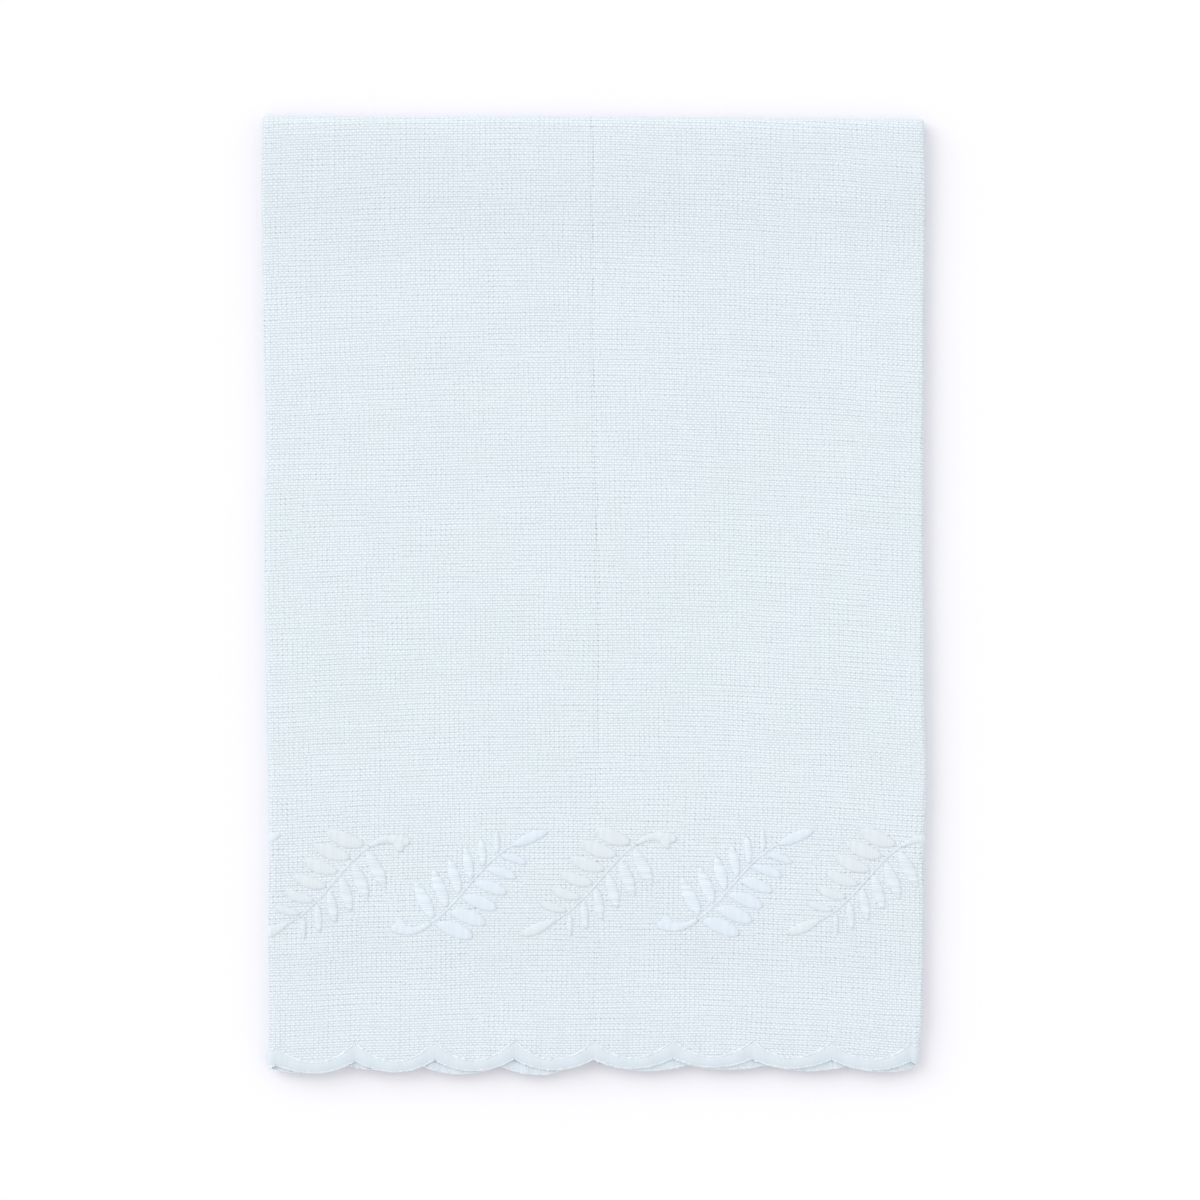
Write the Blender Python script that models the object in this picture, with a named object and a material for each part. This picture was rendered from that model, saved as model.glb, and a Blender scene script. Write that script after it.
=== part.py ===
"""A linen hand towel, folded for the shelf.

The towel is one panel of plain-weave linen. One short end has a scalloped edge in satin stitch,
with a border of stitched leaf sprigs above it, and the other end has a plain hem.

It is charted here as the maker has it, flat, in a (across, along) pair of coordinates. `across`
runs from one long side to the other, with 0 on the middle of the cloth, and `along` runs from the
tips of the scallops to the plain end. The chart is filled with triangles, raised where the thread
lies on it, and then folded: both long sides to the back, and then once across, with the plain end
behind. Lengths are in millimetres until the points are placed.
"""

from math import cos, floor, pi, radians, sin

import bmesh
import bpy
from mathutils import Matrix, Vector
from mathutils.geometry import delaunay_2d_cdt, interpolate_bezier

METRES = 0.001

# The cloth as it is cut and hemmed.
CLOTH_WIDTH = 381.0
CLOTH_LENGTH = 552.0
CLOTH_THICKNESS = 1.0

# The folds.
LAYER_PITCH = 1.4
FOLDED_HALF_WIDTH = 95.7
FOLD_LINE = 279.2
FOLD_STEPS = 6
CROSS_FOLD_STEPS = 8

# The scalloped edge, in satin stitch.
SCALLOP_COUNT = 16
SCALLOP_PITCH = 23.41
SCALLOP_DEPTH = 3.6
SATIN_WIDTH = 3.5
SATIN_CUSP_DEPTH = 5.2
SATIN_FOOT = 0.7
SATIN_EDGE_RISE = 0.2
SATIN_RIDGE_RISE = 0.45
SCALLOP_STEPS = 8

# The border of leaf sprigs. It goes on inside the folds, where two more sprigs lie out of sight.
SPRIG_COUNT = 7
SPRIG_PITCH = 38.9
SPRIG_SHIFT = 0.8
SPRIG_LINE = 54.4
SPRIG_REACH = 26.0
LEAF_PAIRS = 6
LEAF_RISE = 0.5
LEAF_SHOULDER = 0.75
SHOULDER_RISE = 0.8
STEM_HALF_WIDTH = 0.45
STEM_RISE = 0.35
LEAF_STEPS = 4
STEM_STEPS = 8
STEM_FINE_STEPS = 61

# The sprig's stem, as a curve from its foot to its head about the sprig's middle.
STEM_FOOT = Vector((-10.4, -11.1))
STEM_FOOT_PULL = Vector((-2.0, -6.0))
STEM_HEAD_PULL = Vector((3.0, 6.0))
STEM_HEAD = Vector((14.0, 11.5))
FIRST_PAIR_AT = 0.03
LAST_PAIR_AT = 0.81

# The hooked tail below the stem's foot.
# Columns: across, along, half width.
TAIL = (
    (-10.4, -11.2, 0.55),
    (-13.5, -12.8, 1.0),
    (-16.5, -13.3, 1.35),
    (-19.4, -12.8, 1.65),
    (-22.1, -12.4, 0.0),
)

# The leaves either side of the stem, first those above it and then those below it.
# Each row: the leaf at the stem's foot, the leaf at its head, and what all of them share.
# At the foot and at the head: start across and along from the stem, angle, length, width.
# Shared: arch, where it is fullest (more than 1 is towards its tip), how pointed its ends are.
PAIRED_LEAVES = (
    ((-0.4, 0.7, 115.0, 11.8, 3.9), (0.0, 0.7, 91.0, 6.8, 1.7), (0.0, 0.95, 0.62)),
    ((0.9, -1.3, -17.5, 11.1, 4.6), (0.9, -0.1, -15.0, 8.0, 2.4), (0.3, 1.1, 0.42)),
)
SHRINK_POWER = 1.6

# The leaf that ends the stem and the barb on the tail, with the same numbers, the start from the
# sprig's middle.
LONE_LEAVES = (
    ((13.0, 10.9, 21.0, 11.2, 3.3), (0.3, 1.1, 0.62)),
    ((-18.3, -13.6, 107.0, 4.3, 3.0), (0.0, 0.8, 0.62)),
)

# How much deeper than ruled the scallops' bows are worked, as their cusps stray.
# Columns: place across the cloth, extra depth.
CUSP_STRAY = (
    (-93.0, -0.5),
    (-72.0, 0.3),
    (-40.0, 0.45),
    (0.0, 0.05),
    (45.0, -0.45),
    (93.0, -0.15),
)

# Thread that lies inside the folds is pressed to this part of its height.
PRESSED = 0.3

# The chart's own spacing, where nothing finer is drawn, and how near its points may lie.
ALONG_SPACING = 17.0
ACROSS_SPACING = 24.0
CLEAR_OF_FOLDS = 0.25
CLOSEST_POINTS = 0.04
CHART_MERGE = 0.001
KEYS_PER_MM = 20
INSIDE_THE_OUTLINE = 1
ROUNDED_UP_TO = radians(31)

# How far each fold and the slit between the flaps lie from their ruled lines, seen from above.
# Columns: height up the folded towel, left fold, slit, right fold.
FOLD_DRIFT = (
    (-136.0, 1.0, -0.3, -1.5),
    (-118.0, 1.2, 0.0, 0.0),
    (-100.0, 0.9, 0.4, 0.2),
    (-74.0, 1.2, 0.8, 0.3),
    (-56.0, 1.0, 1.1, 1.0),
    (-22.0, 0.3, 1.2, 0.4),
    (13.0, -0.2, 0.8, 0.1),
    (48.0, 0.4, 0.0, 0.2),
    (83.0, -0.6, -0.5, 0.4),
    (118.0, -1.0, -0.6, 0.8),
    (136.0, -0.7, -0.6, 0.4),
)

# How far the scalloped end and the cross fold lie above their ruled lines.
# Columns: distance right of the middle, scalloped end, cross fold.
END_DRIFT = (
    (-96.0, -1.1, 0.3),
    (-60.0, -0.8, 0.2),
    (-12.0, -0.1, 0.3),
    (35.0, 0.8, -0.1),
    (60.0, 0.6, -0.4),
    (96.0, -0.2, -0.6),
)

# How far the flaps slip out below the panel in front of them.
# Columns: distance along the cloth from the side fold, left flap, right flap.
FLAP_SLIP = (
    (0.0, 0.0, 0.0),
    (30.0, -0.1, 0.7),
    (55.0, 1.0, 0.9),
    (80.0, 1.9, 0.7),
    (96.0, 2.0, 0.3),
)

# How the top of the stack swells and sinks, in parts of its height.
# Columns: waves across, waves along, phase in degrees, swell.
SWELL_WAVES = (
    (0.6, 0.8, 40.0, 0.030),
    (1.3, 0.5, 200.0, 0.020),
    (0.9, 2.1, 310.0, 0.018),
)

FLAP_BEND_RADIUS = LAYER_PITCH / 2
CROSS_AXIS_DEPTH = 1.5 * LAYER_PITCH
PANEL_HALF_ARC = pi / 2 * CROSS_AXIS_DEPTH
BEND_START = FOLDED_HALF_WIDTH - CLOTH_THICKNESS / 2 - FLAP_BEND_RADIUS
BEND_END = BEND_START + pi * FLAP_BEND_RADIUS
STITCHED_HALF_WIDTH = SCALLOP_COUNT * SCALLOP_PITCH / 2
FOLDED_TOP = 140.0
CROSS_AXIS_UP = FOLDED_TOP - CROSS_AXIS_DEPTH - CLOTH_THICKNESS / 2
STACK_HEIGHT = 3 * LAYER_PITCH + CLOTH_THICKNESS


def clear_scene():
    """Remove what the file opened with."""
    for item in list(bpy.data.objects):
        bpy.data.objects.remove(item, do_unlink=True)


def ease(fraction):
    """Smooth a 0 to 1 fraction at both ends."""
    return fraction * fraction * (3 - 2 * fraction)


def blend(low, high, part):
    """The value that lies a part of the way from low to high."""
    return low + part * (high - low)


def read_table(table, place, column):
    """A column's value at a place between the rows, which run upwards in their first column."""
    if place <= table[0][0]:
        return table[0][column]
    for low, high in zip(table, table[1:]):
        if place <= high[0]:
            part = ease((place - low[0]) / (high[0] - low[0]))
            return blend(low[column], high[column], part)
    return table[-1][column]


def evenly(start, end, steps):
    """Values from start to end, both included."""
    return [blend(start, end, step / steps) for step in range(steps + 1)]


# ---------------------------------------------------------------- the scalloped edge


def scallop_rise(across):
    """0 at the tip of a scallop and 1 at the cusp between two, along a bow."""
    place = min(abs(across), STITCHED_HALF_WIDTH) / SCALLOP_PITCH
    part = place - floor(place)
    return (2 * part - 1) ** 2 if place < SCALLOP_COUNT / 2 else 1.0


def bow(across, depth):
    """How far a scalloped line of some ruled depth lies above its tips."""
    return (depth + read_table(CUSP_STRAY, across, 1)) * scallop_rise(across)


def cut_edge(across):
    """Where the cloth ends, below the satin stitch."""
    return bow(across, SCALLOP_DEPTH)


def satin_edge(across):
    """Where the satin stitch ends on the cloth."""
    return SATIN_WIDTH + bow(across, SATIN_CUSP_DEPTH)


def satin_height(across, along):
    """How high the satin stitch stands: low at the cut edge, full at its inner ridge."""
    cut = cut_edge(across)
    ridge = satin_edge(across)
    if along > ridge:
        fade = (along - ridge) / SATIN_FOOT
        return SATIN_RIDGE_RISE * max(0.0, 1 - fade)
    part = max(0.0, (along - cut) / (ridge - cut))
    return blend(SATIN_EDGE_RISE, SATIN_RIDGE_RISE, part)


# ---------------------------------------------------------------- the sprigs


class Stroke:
    """A run of thread: a centre line with a half width at each of its points.

    A padded stroke has a steep side up to its shoulder and a low crown above.
    """

    def __init__(self, centre, half_widths, rise, padded):
        self.centre = centre
        self.half_widths = half_widths
        self.rise = rise
        self.padded = padded

    def placed(self, turn, shift):
        """The same stroke, turned about the sprig's middle and shifted to its place."""
        spin = Matrix.Rotation(turn, 2)
        centre = [spin @ point + shift for point in self.centre]
        return Stroke(centre, self.half_widths, self.rise, self.padded)

    def side(self, part):
        """A line that runs beside the centre, at a part of the half width."""
        line = []
        last = len(self.centre) - 1
        for index, point in enumerate(self.centre):
            before = self.centre[max(index - 1, 0)]
            after = self.centre[min(index + 1, last)]
            way = (after - before).normalized()
            line.append(point + Vector((-way.y, way.x)) * self.half_widths[index] * part)
        return line

    def lines(self):
        """The lines that the stroke needs on the chart."""
        left = self.side(1)
        right = self.side(-1)
        drawn = [left + right[::-1] + left[:1], self.centre]
        if self.padded:
            drawn += [self.side(LEAF_SHOULDER), self.side(-LEAF_SHOULDER)]
        return drawn

    def height(self, point):
        """How high the thread stands over a point of the cloth."""
        nearest = 1.0
        for index in range(len(self.centre) - 1):
            start = self.centre[index]
            run = self.centre[index + 1] - start
            part = min(1.0, max(0.0, (point - start).dot(run) / run.length_squared))
            half = blend(self.half_widths[index], self.half_widths[index + 1], part)
            if half > 0:
                nearest = min(nearest, (point - start - run * part).length / half)
        if not self.padded:
            return self.rise * (1 - nearest)
        if nearest > LEAF_SHOULDER:
            return self.rise * SHOULDER_RISE * (1 - nearest) / (1 - LEAF_SHOULDER)
        return self.rise * blend(1.0, SHOULDER_RISE, (nearest / LEAF_SHOULDER) ** 2)


def leaf(start, angle, length, width, arch, fullest, pointed):
    """A satin leaf from where it starts, arched to one side. The angle is in degrees."""
    way = Vector((cos(radians(angle)), sin(radians(angle))))
    side = Vector((-way.y, way.x))
    centre = []
    half_widths = []
    for part in evenly(0.0, 1.0, LEAF_STEPS):
        centre.append(start + way * length * part + side * arch * sin(pi * part))
        swollen = sin(pi * part ** fullest) ** pointed if 0 < part < 1 else 0.0
        half_widths.append(width / 2 * swollen)
    return Stroke(centre, half_widths, LEAF_RISE, True)


def stem(steps):
    """The line of a sprig's stem, from its foot to its head."""
    return interpolate_bezier(STEM_FOOT, STEM_FOOT_PULL, STEM_HEAD_PULL, STEM_HEAD, steps)


def stem_place(part):
    """The place that lies a part of the stem's length from its foot."""
    points = stem(STEM_FINE_STEPS)
    lengths = [(end - start).length for start, end in zip(points, points[1:])]
    to_go = part * sum(lengths)
    for start, end, length in zip(points, points[1:], lengths):
        if to_go <= length:
            return start.lerp(end, to_go / length)
        to_go -= length
    return points[-1]


def paired_leaf(foot, head, shared, grown, base):
    """One leaf of a pair: grown is 0 at the stem's foot and 1 at its head."""
    across, along, angle = [blend(*ends, grown) for ends in zip(foot[:3], head[:3])]
    length, width = [blend(*ends, grown ** SHRINK_POWER) for ends in zip(foot[3:], head[3:])]
    return leaf(base + Vector((across, along)), angle, length, width, *shared)


def sprig():
    """One sprig about its own middle: a curved stem, leaf pairs, an end leaf and a hooked tail."""
    strokes = [Stroke(stem(STEM_STEPS), [STEM_HALF_WIDTH] * STEM_STEPS, STEM_RISE, False)]
    for pair in range(LEAF_PAIRS):
        grown = pair / (LEAF_PAIRS - 1)
        base = stem_place(blend(FIRST_PAIR_AT, LAST_PAIR_AT, grown))
        strokes += [paired_leaf(*row, grown, base) for row in PAIRED_LEAVES]
    for (across, along, *size), shared in LONE_LEAVES:
        strokes.append(leaf(Vector((across, along)), *size, *shared))
    tail = [Vector((across, along)) for across, along, _ in TAIL]
    strokes.append(Stroke(tail, [half_width for _, _, half_width in TAIL], LEAF_RISE, True))
    return strokes


def border():
    """All the sprigs on the cloth, every second one turned about."""
    pattern = sprig()
    middle = SPRIG_COUNT // 2
    sprigs = []
    for index in range(SPRIG_COUNT):
        place = Vector(((index - middle) * SPRIG_PITCH + SPRIG_SHIFT, SPRIG_LINE))
        turn = pi if (index - middle) % 2 == 0 else 0.0
        sprigs.append((place, [stroke.placed(turn, place) for stroke in pattern]))
    return sprigs


def thread_height(sprigs, across, along):
    """How high the thread stands on the right side of the cloth."""
    point = Vector((across, along))
    height = satin_height(across, along)
    for place, strokes in sprigs:
        if (point - place).length < SPRIG_REACH:
            height = max([height] + [stroke.height(point) for stroke in strokes])
    folded_in = min(1.0, max(0.0, (abs(across) - BEND_START) / (BEND_END - BEND_START)))
    return height * blend(1.0, PRESSED, folded_in)


# ---------------------------------------------------------------- the folds


def half_arc(across):
    """The cloth that goes half way round the cross fold, less where the flaps slip out."""
    past = abs(across) - BEND_START
    if past <= 0:
        return PANEL_HALF_ARC
    return PANEL_HALF_ARC - read_table(FLAP_SLIP, past, 1 if across < 0 else 2)


def fold_sides(across, lift):
    """Fold a long side to the back: sideways place and depth below the panel's middle."""
    side = -1.0 if across < 0 else 1.0
    reach = abs(across)
    if reach <= BEND_START:
        return across, lift
    if reach >= BEND_END:
        return side * (BEND_START + BEND_END - reach), -2 * FLAP_BEND_RADIUS - lift
    angle = (reach - BEND_START) / FLAP_BEND_RADIUS
    radius = FLAP_BEND_RADIUS + lift
    return side * (BEND_START + radius * sin(angle)), radius * cos(angle) - FLAP_BEND_RADIUS


def fold_across(along, rise, arc):
    """Fold the towel in half, plain end behind: place up the towel and depth."""
    radius = rise + CROSS_AXIS_DEPTH
    beyond = along - FOLD_LINE
    if abs(beyond) < arc:
        angle = beyond / arc * pi / 2
        return CROSS_AXIS_UP + radius * cos(angle), -radius * sin(angle)
    up = CROSS_AXIS_UP - (abs(beyond) - arc)
    return up, radius if beyond < 0 else -radius


def drift(x, y):
    """Move a place in the ruled stack to where the cloth really lies."""
    side = min(1.0, abs(x) / FOLDED_HALF_WIDTH)
    slit = read_table(FOLD_DRIFT, y, 2)
    edge = read_table(FOLD_DRIFT, y, 1 if x < 0 else 3)
    up_part = min(1.0, max(0.0, y / (2 * FOLDED_TOP) + 0.5))
    end = read_table(END_DRIFT, x, 1)
    top = read_table(END_DRIFT, x, 2)
    return x + blend(slit, edge, side), y + blend(end, top, up_part)


def swell(x, y):
    """How much thicker or thinner the stack lies at a place, in parts of its height."""
    total = 0.0
    for waves_across, waves_along, phase, size in SWELL_WAVES:
        turn = waves_across * x / FOLDED_HALF_WIDTH + waves_along * y / FOLDED_TOP
        total += size * sin(pi * turn + radians(phase))
    return total


def lay(across, along, lift):
    """The place of a point of the flat cloth once the towel is folded; lift is off its middle."""
    x, rise = fold_sides(across, lift)
    y, z = fold_across(along, rise, half_arc(across))
    x, y = drift(x, y)
    z = (z + STACK_HEIGHT / 2) * (1 + swell(x, y))
    return Vector((x, y, z)) * METRES


# ---------------------------------------------------------------- the chart of the flat cloth


class Chart:
    """Points and lines drawn on the flat cloth."""

    def __init__(self):
        self.points = []
        self.edges = []

    def line(self, points):
        """Draw a line through the points."""
        first = len(self.points)
        self.points.extend(Vector(point) for point in points)
        self.edges.extend((first + step, first + step + 1) for step in range(len(points) - 1))

    def dots(self, points):
        """Mark points that no line joins."""
        self.points.extend(Vector(point) for point in points)

    def filled(self):
        """The chart's points and triangles."""
        filled = delaunay_2d_cdt(self.points, self.edges, [], INSIDE_THE_OUTLINE, CHART_MERGE)
        return filled[0], filled[2]


def on_both_sides(places):
    """Places right of the middle, and the same to its left."""
    return sorted([-place for place in places] + places)


def bend_places():
    """Places from the start to the end of a side fold."""
    return evenly(BEND_START, BEND_END, FOLD_STEPS)


def plain_places():
    """Even places across the panel and the flaps, clear of the side folds."""
    panel = evenly(-BEND_START, BEND_START, round(2 * BEND_START / ACROSS_SPACING))
    half = CLOTH_WIDTH / 2
    flap = evenly(BEND_END, half, round((half - BEND_END) / ACROSS_SPACING))
    return panel[1:-1] + on_both_sides(flap[1:-1])


def scallop_places():
    """Places along the scalloped end, scallop by scallop, with the side folds among them."""
    ruled = evenly(-STITCHED_HALF_WIDTH, STITCHED_HALF_WIDTH, SCALLOP_COUNT * SCALLOP_STEPS)
    bends = on_both_sides(bend_places())
    clear = [place for place in ruled
             if min(abs(place - bend) for bend in bends) > CLEAR_OF_FOLDS]
    return sorted(clear + bends + on_both_sides([CLOTH_WIDTH / 2]))


def cross_fold_places(across):
    """Places that go round the cross fold together, closer where the flaps slip."""
    return [FOLD_LINE + part * half_arc(across) for part in evenly(-1.0, 1.0, CROSS_FOLD_STEPS)]


def along_places():
    """Places up the cloth below the cross fold, and above it."""
    start = SATIN_WIDTH + SATIN_CUSP_DEPTH + 2 * SATIN_FOOT
    below = FOLD_LINE - PANEL_HALF_ARC
    above = FOLD_LINE + PANEL_HALF_ARC
    lower = evenly(start, below, round((below - start) / ALONG_SPACING))
    upper = evenly(above, CLOTH_LENGTH, round((CLOTH_LENGTH - above) / ALONG_SPACING))
    return lower[:-1], upper[1:]


def draw_cloth(chart):
    """Draw what both faces of the cloth share: its outline and its folds."""
    lower, upper = along_places()
    upright = on_both_sides(bend_places() + [CLOTH_WIDTH / 2])
    every_place = sorted(upright + plain_places())
    chart.line([(across, cut_edge(across)) for across in scallop_places()])
    chart.line([(across, CLOTH_LENGTH) for across in every_place])
    crossings = [cross_fold_places(across) for across in every_place]
    for step in range(CROSS_FOLD_STEPS + 1):
        chart.line([(across, places[step]) for across, places in zip(every_place, crossings)])
    for across in upright:
        ridge = satin_edge(across)
        end = [cut_edge(across), ridge, ridge + SATIN_FOOT]
        run = end + lower + cross_fold_places(across) + upper
        chart.line([(across, along) for along in run])


def chart_right_side(sprigs):
    """The right side of the cloth, with the satin stitch and the sprigs drawn on it."""
    chart = Chart()
    draw_cloth(chart)
    for foot in (0.0, SATIN_FOOT):
        chart.line([(across, satin_edge(across) + foot) for across in scallop_places()])
    for _, strokes in sprigs:
        for stroke in strokes:
            for line in stroke.lines():
                chart.line(line)
    lower, upper = along_places()
    clear = [along for along in lower[1:] if abs(along - SPRIG_LINE) > SPRIG_REACH]
    chart.dots([(across, along) for across in plain_places() for along in clear + upper[:-1]])
    return chart.filled()


def chart_wrong_side():
    """The wrong side of the cloth."""
    chart = Chart()
    draw_cloth(chart)
    lower, upper = along_places()
    chart.dots([(across, along) for across in plain_places() for along in lower[1:] + upper[:-1]])
    return chart.filled()


def flat_key(spot):
    """A name for a spot of the chart that is the same on both faces."""
    return round(spot.x * KEYS_PER_MM), round(spot.y * KEYS_PER_MM)


def add_face(mesh, spots, faces, place, flipped):
    """Add one face of the cloth to the mesh, with its points laid in their folds."""
    verts = [mesh.verts.new(place(spot.x, spot.y)) for spot in spots]
    for face in faces:
        corners = [verts[index] for index in face]
        mesh.faces.new(corners[::-1] if flipped else corners)
    return {flat_key(spot): vert for spot, vert in zip(spots, verts)}


def rim_edges(faces):
    """The chart's outer edges, in the way round that its triangles give."""
    sides = set()
    for face in faces:
        for start, end in zip(face, face[1:] + face[:1]):
            sides.add((start, end))
    return [side for side in sides if (side[1], side[0]) not in sides]


def towel_mesh():
    """The folded towel as one closed mesh."""
    sprigs = border()
    half = CLOTH_THICKNESS / 2

    def right_side(across, along):
        return lay(across, along, half + thread_height(sprigs, across, along))

    def wrong_side(across, along):
        return lay(across, along, -half)

    mesh = bmesh.new()
    front_spots, front_faces = chart_right_side(sprigs)
    back_spots, back_faces = chart_wrong_side()
    front = add_face(mesh, front_spots, front_faces, right_side, False)
    back = add_face(mesh, back_spots, back_faces, wrong_side, True)
    for start, end in rim_edges(front_faces):
        first = flat_key(front_spots[start])
        second = flat_key(front_spots[end])
        mesh.faces.new((front[second], front[first], back[first]))
        mesh.faces.new((front[second], back[first], back[second]))
    bmesh.ops.remove_doubles(mesh, verts=mesh.verts, dist=CLOSEST_POINTS * METRES)
    bmesh.ops.recalc_face_normals(mesh, faces=mesh.faces)
    return mesh


def rest_on_origin(mesh):
    """Centre the mesh over the origin, with its underside at height 0."""
    low = Vector([min(vert.co[axis] for vert in mesh.verts) for axis in range(3)])
    high = Vector([max(vert.co[axis] for vert in mesh.verts) for axis in range(3)])
    middle = (low + high) / 2
    bmesh.ops.translate(mesh, verts=mesh.verts, vec=(-middle.x, -middle.y, -low.z))


def linen():
    """White linen, slightly blue."""
    material = bpy.data.materials.new("linen")
    material.use_nodes = True
    shader = material.node_tree.nodes["Principled BSDF"]
    shader.inputs["Base Color"].default_value = (0.76, 0.82, 0.87, 1.0)
    shader.inputs["Roughness"].default_value = 0.9
    shader.inputs["Metallic"].default_value = 0.0
    return material


def make_towel():
    """The towel, as one object."""
    shape = towel_mesh()
    rest_on_origin(shape)
    data = bpy.data.meshes.new("towel")
    shape.to_mesh(data)
    shape.free()
    data.shade_smooth()
    data.set_sharp_from_angle(angle=ROUNDED_UP_TO)
    data.materials.append(linen())
    towel = bpy.data.objects.new("towel", data)
    bpy.context.scene.collection.objects.link(towel)
    return towel


clear_scene()
make_towel()
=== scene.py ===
# %% [markdown]
# # A folded linen hand towel
#
# The real towel is one panel of white plain-weave linen. One short end is finished with a
# scalloped edge in satin stitch, with a border of leaf sprigs in padded satin stitch above it,
# and the other end has a turned hem. It is folded with both long sides to the back and then
# once across, and it lies on a white table, seen from straight above.
#
# Every piece here is made the way the maker makes it: flat first, and folded afterwards. The
# flat cloth has its own chart of two directions, *across* and *along*, with a third number,
# *lift*, for the height above the middle of the cloth. Lengths on the chart are millimetres.

# %% Load the frame
import random
from math import cos, exp, floor, pi, radians, sin, sqrt, tan

import bmesh
import bpy
from mathutils import Matrix, Vector, noise
from mathutils.geometry import interpolate_bezier


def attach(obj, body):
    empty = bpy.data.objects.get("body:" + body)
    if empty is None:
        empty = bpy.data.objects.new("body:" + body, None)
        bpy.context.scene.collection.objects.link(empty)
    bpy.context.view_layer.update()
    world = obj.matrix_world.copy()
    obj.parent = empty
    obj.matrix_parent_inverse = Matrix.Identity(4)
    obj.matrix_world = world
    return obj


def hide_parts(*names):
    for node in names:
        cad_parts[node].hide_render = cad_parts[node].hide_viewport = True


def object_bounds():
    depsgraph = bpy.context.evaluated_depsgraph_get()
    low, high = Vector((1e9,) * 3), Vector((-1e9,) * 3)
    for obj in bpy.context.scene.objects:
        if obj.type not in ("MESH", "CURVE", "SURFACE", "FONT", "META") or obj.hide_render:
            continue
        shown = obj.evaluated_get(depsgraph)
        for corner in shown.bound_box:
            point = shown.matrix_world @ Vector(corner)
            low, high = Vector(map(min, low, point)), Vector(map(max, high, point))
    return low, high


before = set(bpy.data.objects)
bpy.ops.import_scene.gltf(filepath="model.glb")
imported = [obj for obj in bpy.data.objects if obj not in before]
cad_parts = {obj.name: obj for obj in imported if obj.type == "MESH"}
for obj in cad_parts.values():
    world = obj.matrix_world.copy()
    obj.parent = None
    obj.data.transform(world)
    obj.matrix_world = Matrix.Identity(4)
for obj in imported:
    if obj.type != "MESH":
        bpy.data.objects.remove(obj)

METRES = 0.001
cad_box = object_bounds()
cad_low, cad_high = cad_box
print("folded towel, mm:", [round(side / METRES, 1) for side in cad_high - cad_low])

# %% [markdown]
# ## The camera
#
# The towel was seen from straight above, through a long lens, so its sides hardly show. A
# camera 3 m up with a narrow view gives the same flat look. The width of the view is a real
# size on the top of the towel, and the lens follows from it.

# %% Camera
VIEW_WIDTH = 350.0
VIEW_CENTRE = (1.75, -1.43)
CAMERA_ABOVE = 3000.0
SENSOR_WIDTH = 36.0


def add_camera():
    """A camera that looks straight down, with the top of the towel's folded edge away from it."""
    lens = bpy.data.cameras.new("camera")
    lens.sensor_width = SENSOR_WIDTH
    lens.lens = SENSOR_WIDTH * CAMERA_ABOVE / VIEW_WIDTH
    lens.clip_start = 0.1
    lens.clip_end = 50.0
    camera = bpy.data.objects.new("camera", lens)
    across, up = VIEW_CENTRE
    camera.location = (across * METRES, up * METRES, cad_high.z + CAMERA_ABOVE * METRES)
    bpy.context.scene.collection.objects.link(camera)
    bpy.context.scene.camera = camera
    return camera


camera = add_camera()
print("lens, mm:", round(camera.data.lens, 1))

# %% [markdown]
# ## How the cloth lies in its folds
#
# A cloth simulation could fold a flat sheet, but pressed linen lies in straight, thin layers,
# and four of them have to stay apart. So the folds are worked out as a rule: a function takes
# a place on the flat chart and gives its place in the folded towel. The two long sides turn
# through a half circle to the back, and the whole turns through a larger half circle at the
# cross fold. Short tables hold how far the real folds stray from the ruled lines.

# %% Sizes of the cloth and its folds
CLOTH_WIDTH = 381.0
CLOTH_LENGTH = 552.0
CLOTH_THICKNESS = 0.7
LAYER_PITCH = 1.5
FOLDED_HALF_WIDTH = 95.7
FOLD_LINE = 279.2
FOLDED_TOP = 140.0

FLAP_BEND_RADIUS = LAYER_PITCH / 2
CROSS_AXIS_DEPTH = 1.5 * LAYER_PITCH
PANEL_HALF_ARC = pi / 2 * CROSS_AXIS_DEPTH
BEND_START = FOLDED_HALF_WIDTH - CLOTH_THICKNESS / 2 - FLAP_BEND_RADIUS
BEND_END = BEND_START + pi * FLAP_BEND_RADIUS
CROSS_AXIS_UP = FOLDED_TOP - CROSS_AXIS_DEPTH - CLOTH_THICKNESS / 2
STACK_HEIGHT = 3 * LAYER_PITCH + CLOTH_THICKNESS

# How far each fold and the slit between the flaps lie from their ruled lines, seen from above.
# Columns: height up the folded towel, left fold, slit, right fold.
FOLD_DRIFT = (
    (-136.0, 0.55, -0.3, -1.5),
    (-118.0, 0.75, 0.0, 0.0),
    (-100.0, 0.45, 0.4, 0.2),
    (-74.0, 0.75, 0.8, 0.3),
    (-56.0, 0.55, 1.1, 1.0),
    (-22.0, -0.15, 1.2, 0.4),
    (13.0, -0.65, 0.8, 0.1),
    (48.0, -0.05, 0.0, 0.2),
    (83.0, -1.05, -0.5, 0.4),
    (118.0, -1.45, -0.6, 0.8),
    (136.0, -1.15, -0.6, 0.4),
)

# How far the scalloped end and the cross fold lie above their ruled lines.
# Columns: distance right of the middle, scalloped end, cross fold.
END_DRIFT = (
    (-96.0, -1.3, 0.3),
    (-60.0, -0.8, 0.2),
    (-12.0, -0.2, 0.3),
    (35.0, 0.6, -0.1),
    (60.0, 0.3, -0.4),
    (96.0, -0.5, -0.6),
)

# How far the flaps slip out below the panel in front of them.
# Columns: distance along the cloth from the side fold, left flap, right flap.
FLAP_SLIP = (
    (0.0, 0.0, 0.0),
    (8.0, -0.2, 0.35),
    (30.0, -0.5, 0.75),
    (55.0, 0.8, 0.6),
    (80.0, 1.4, 0.85),
    (96.0, 0.0, 0.3),
)

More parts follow.
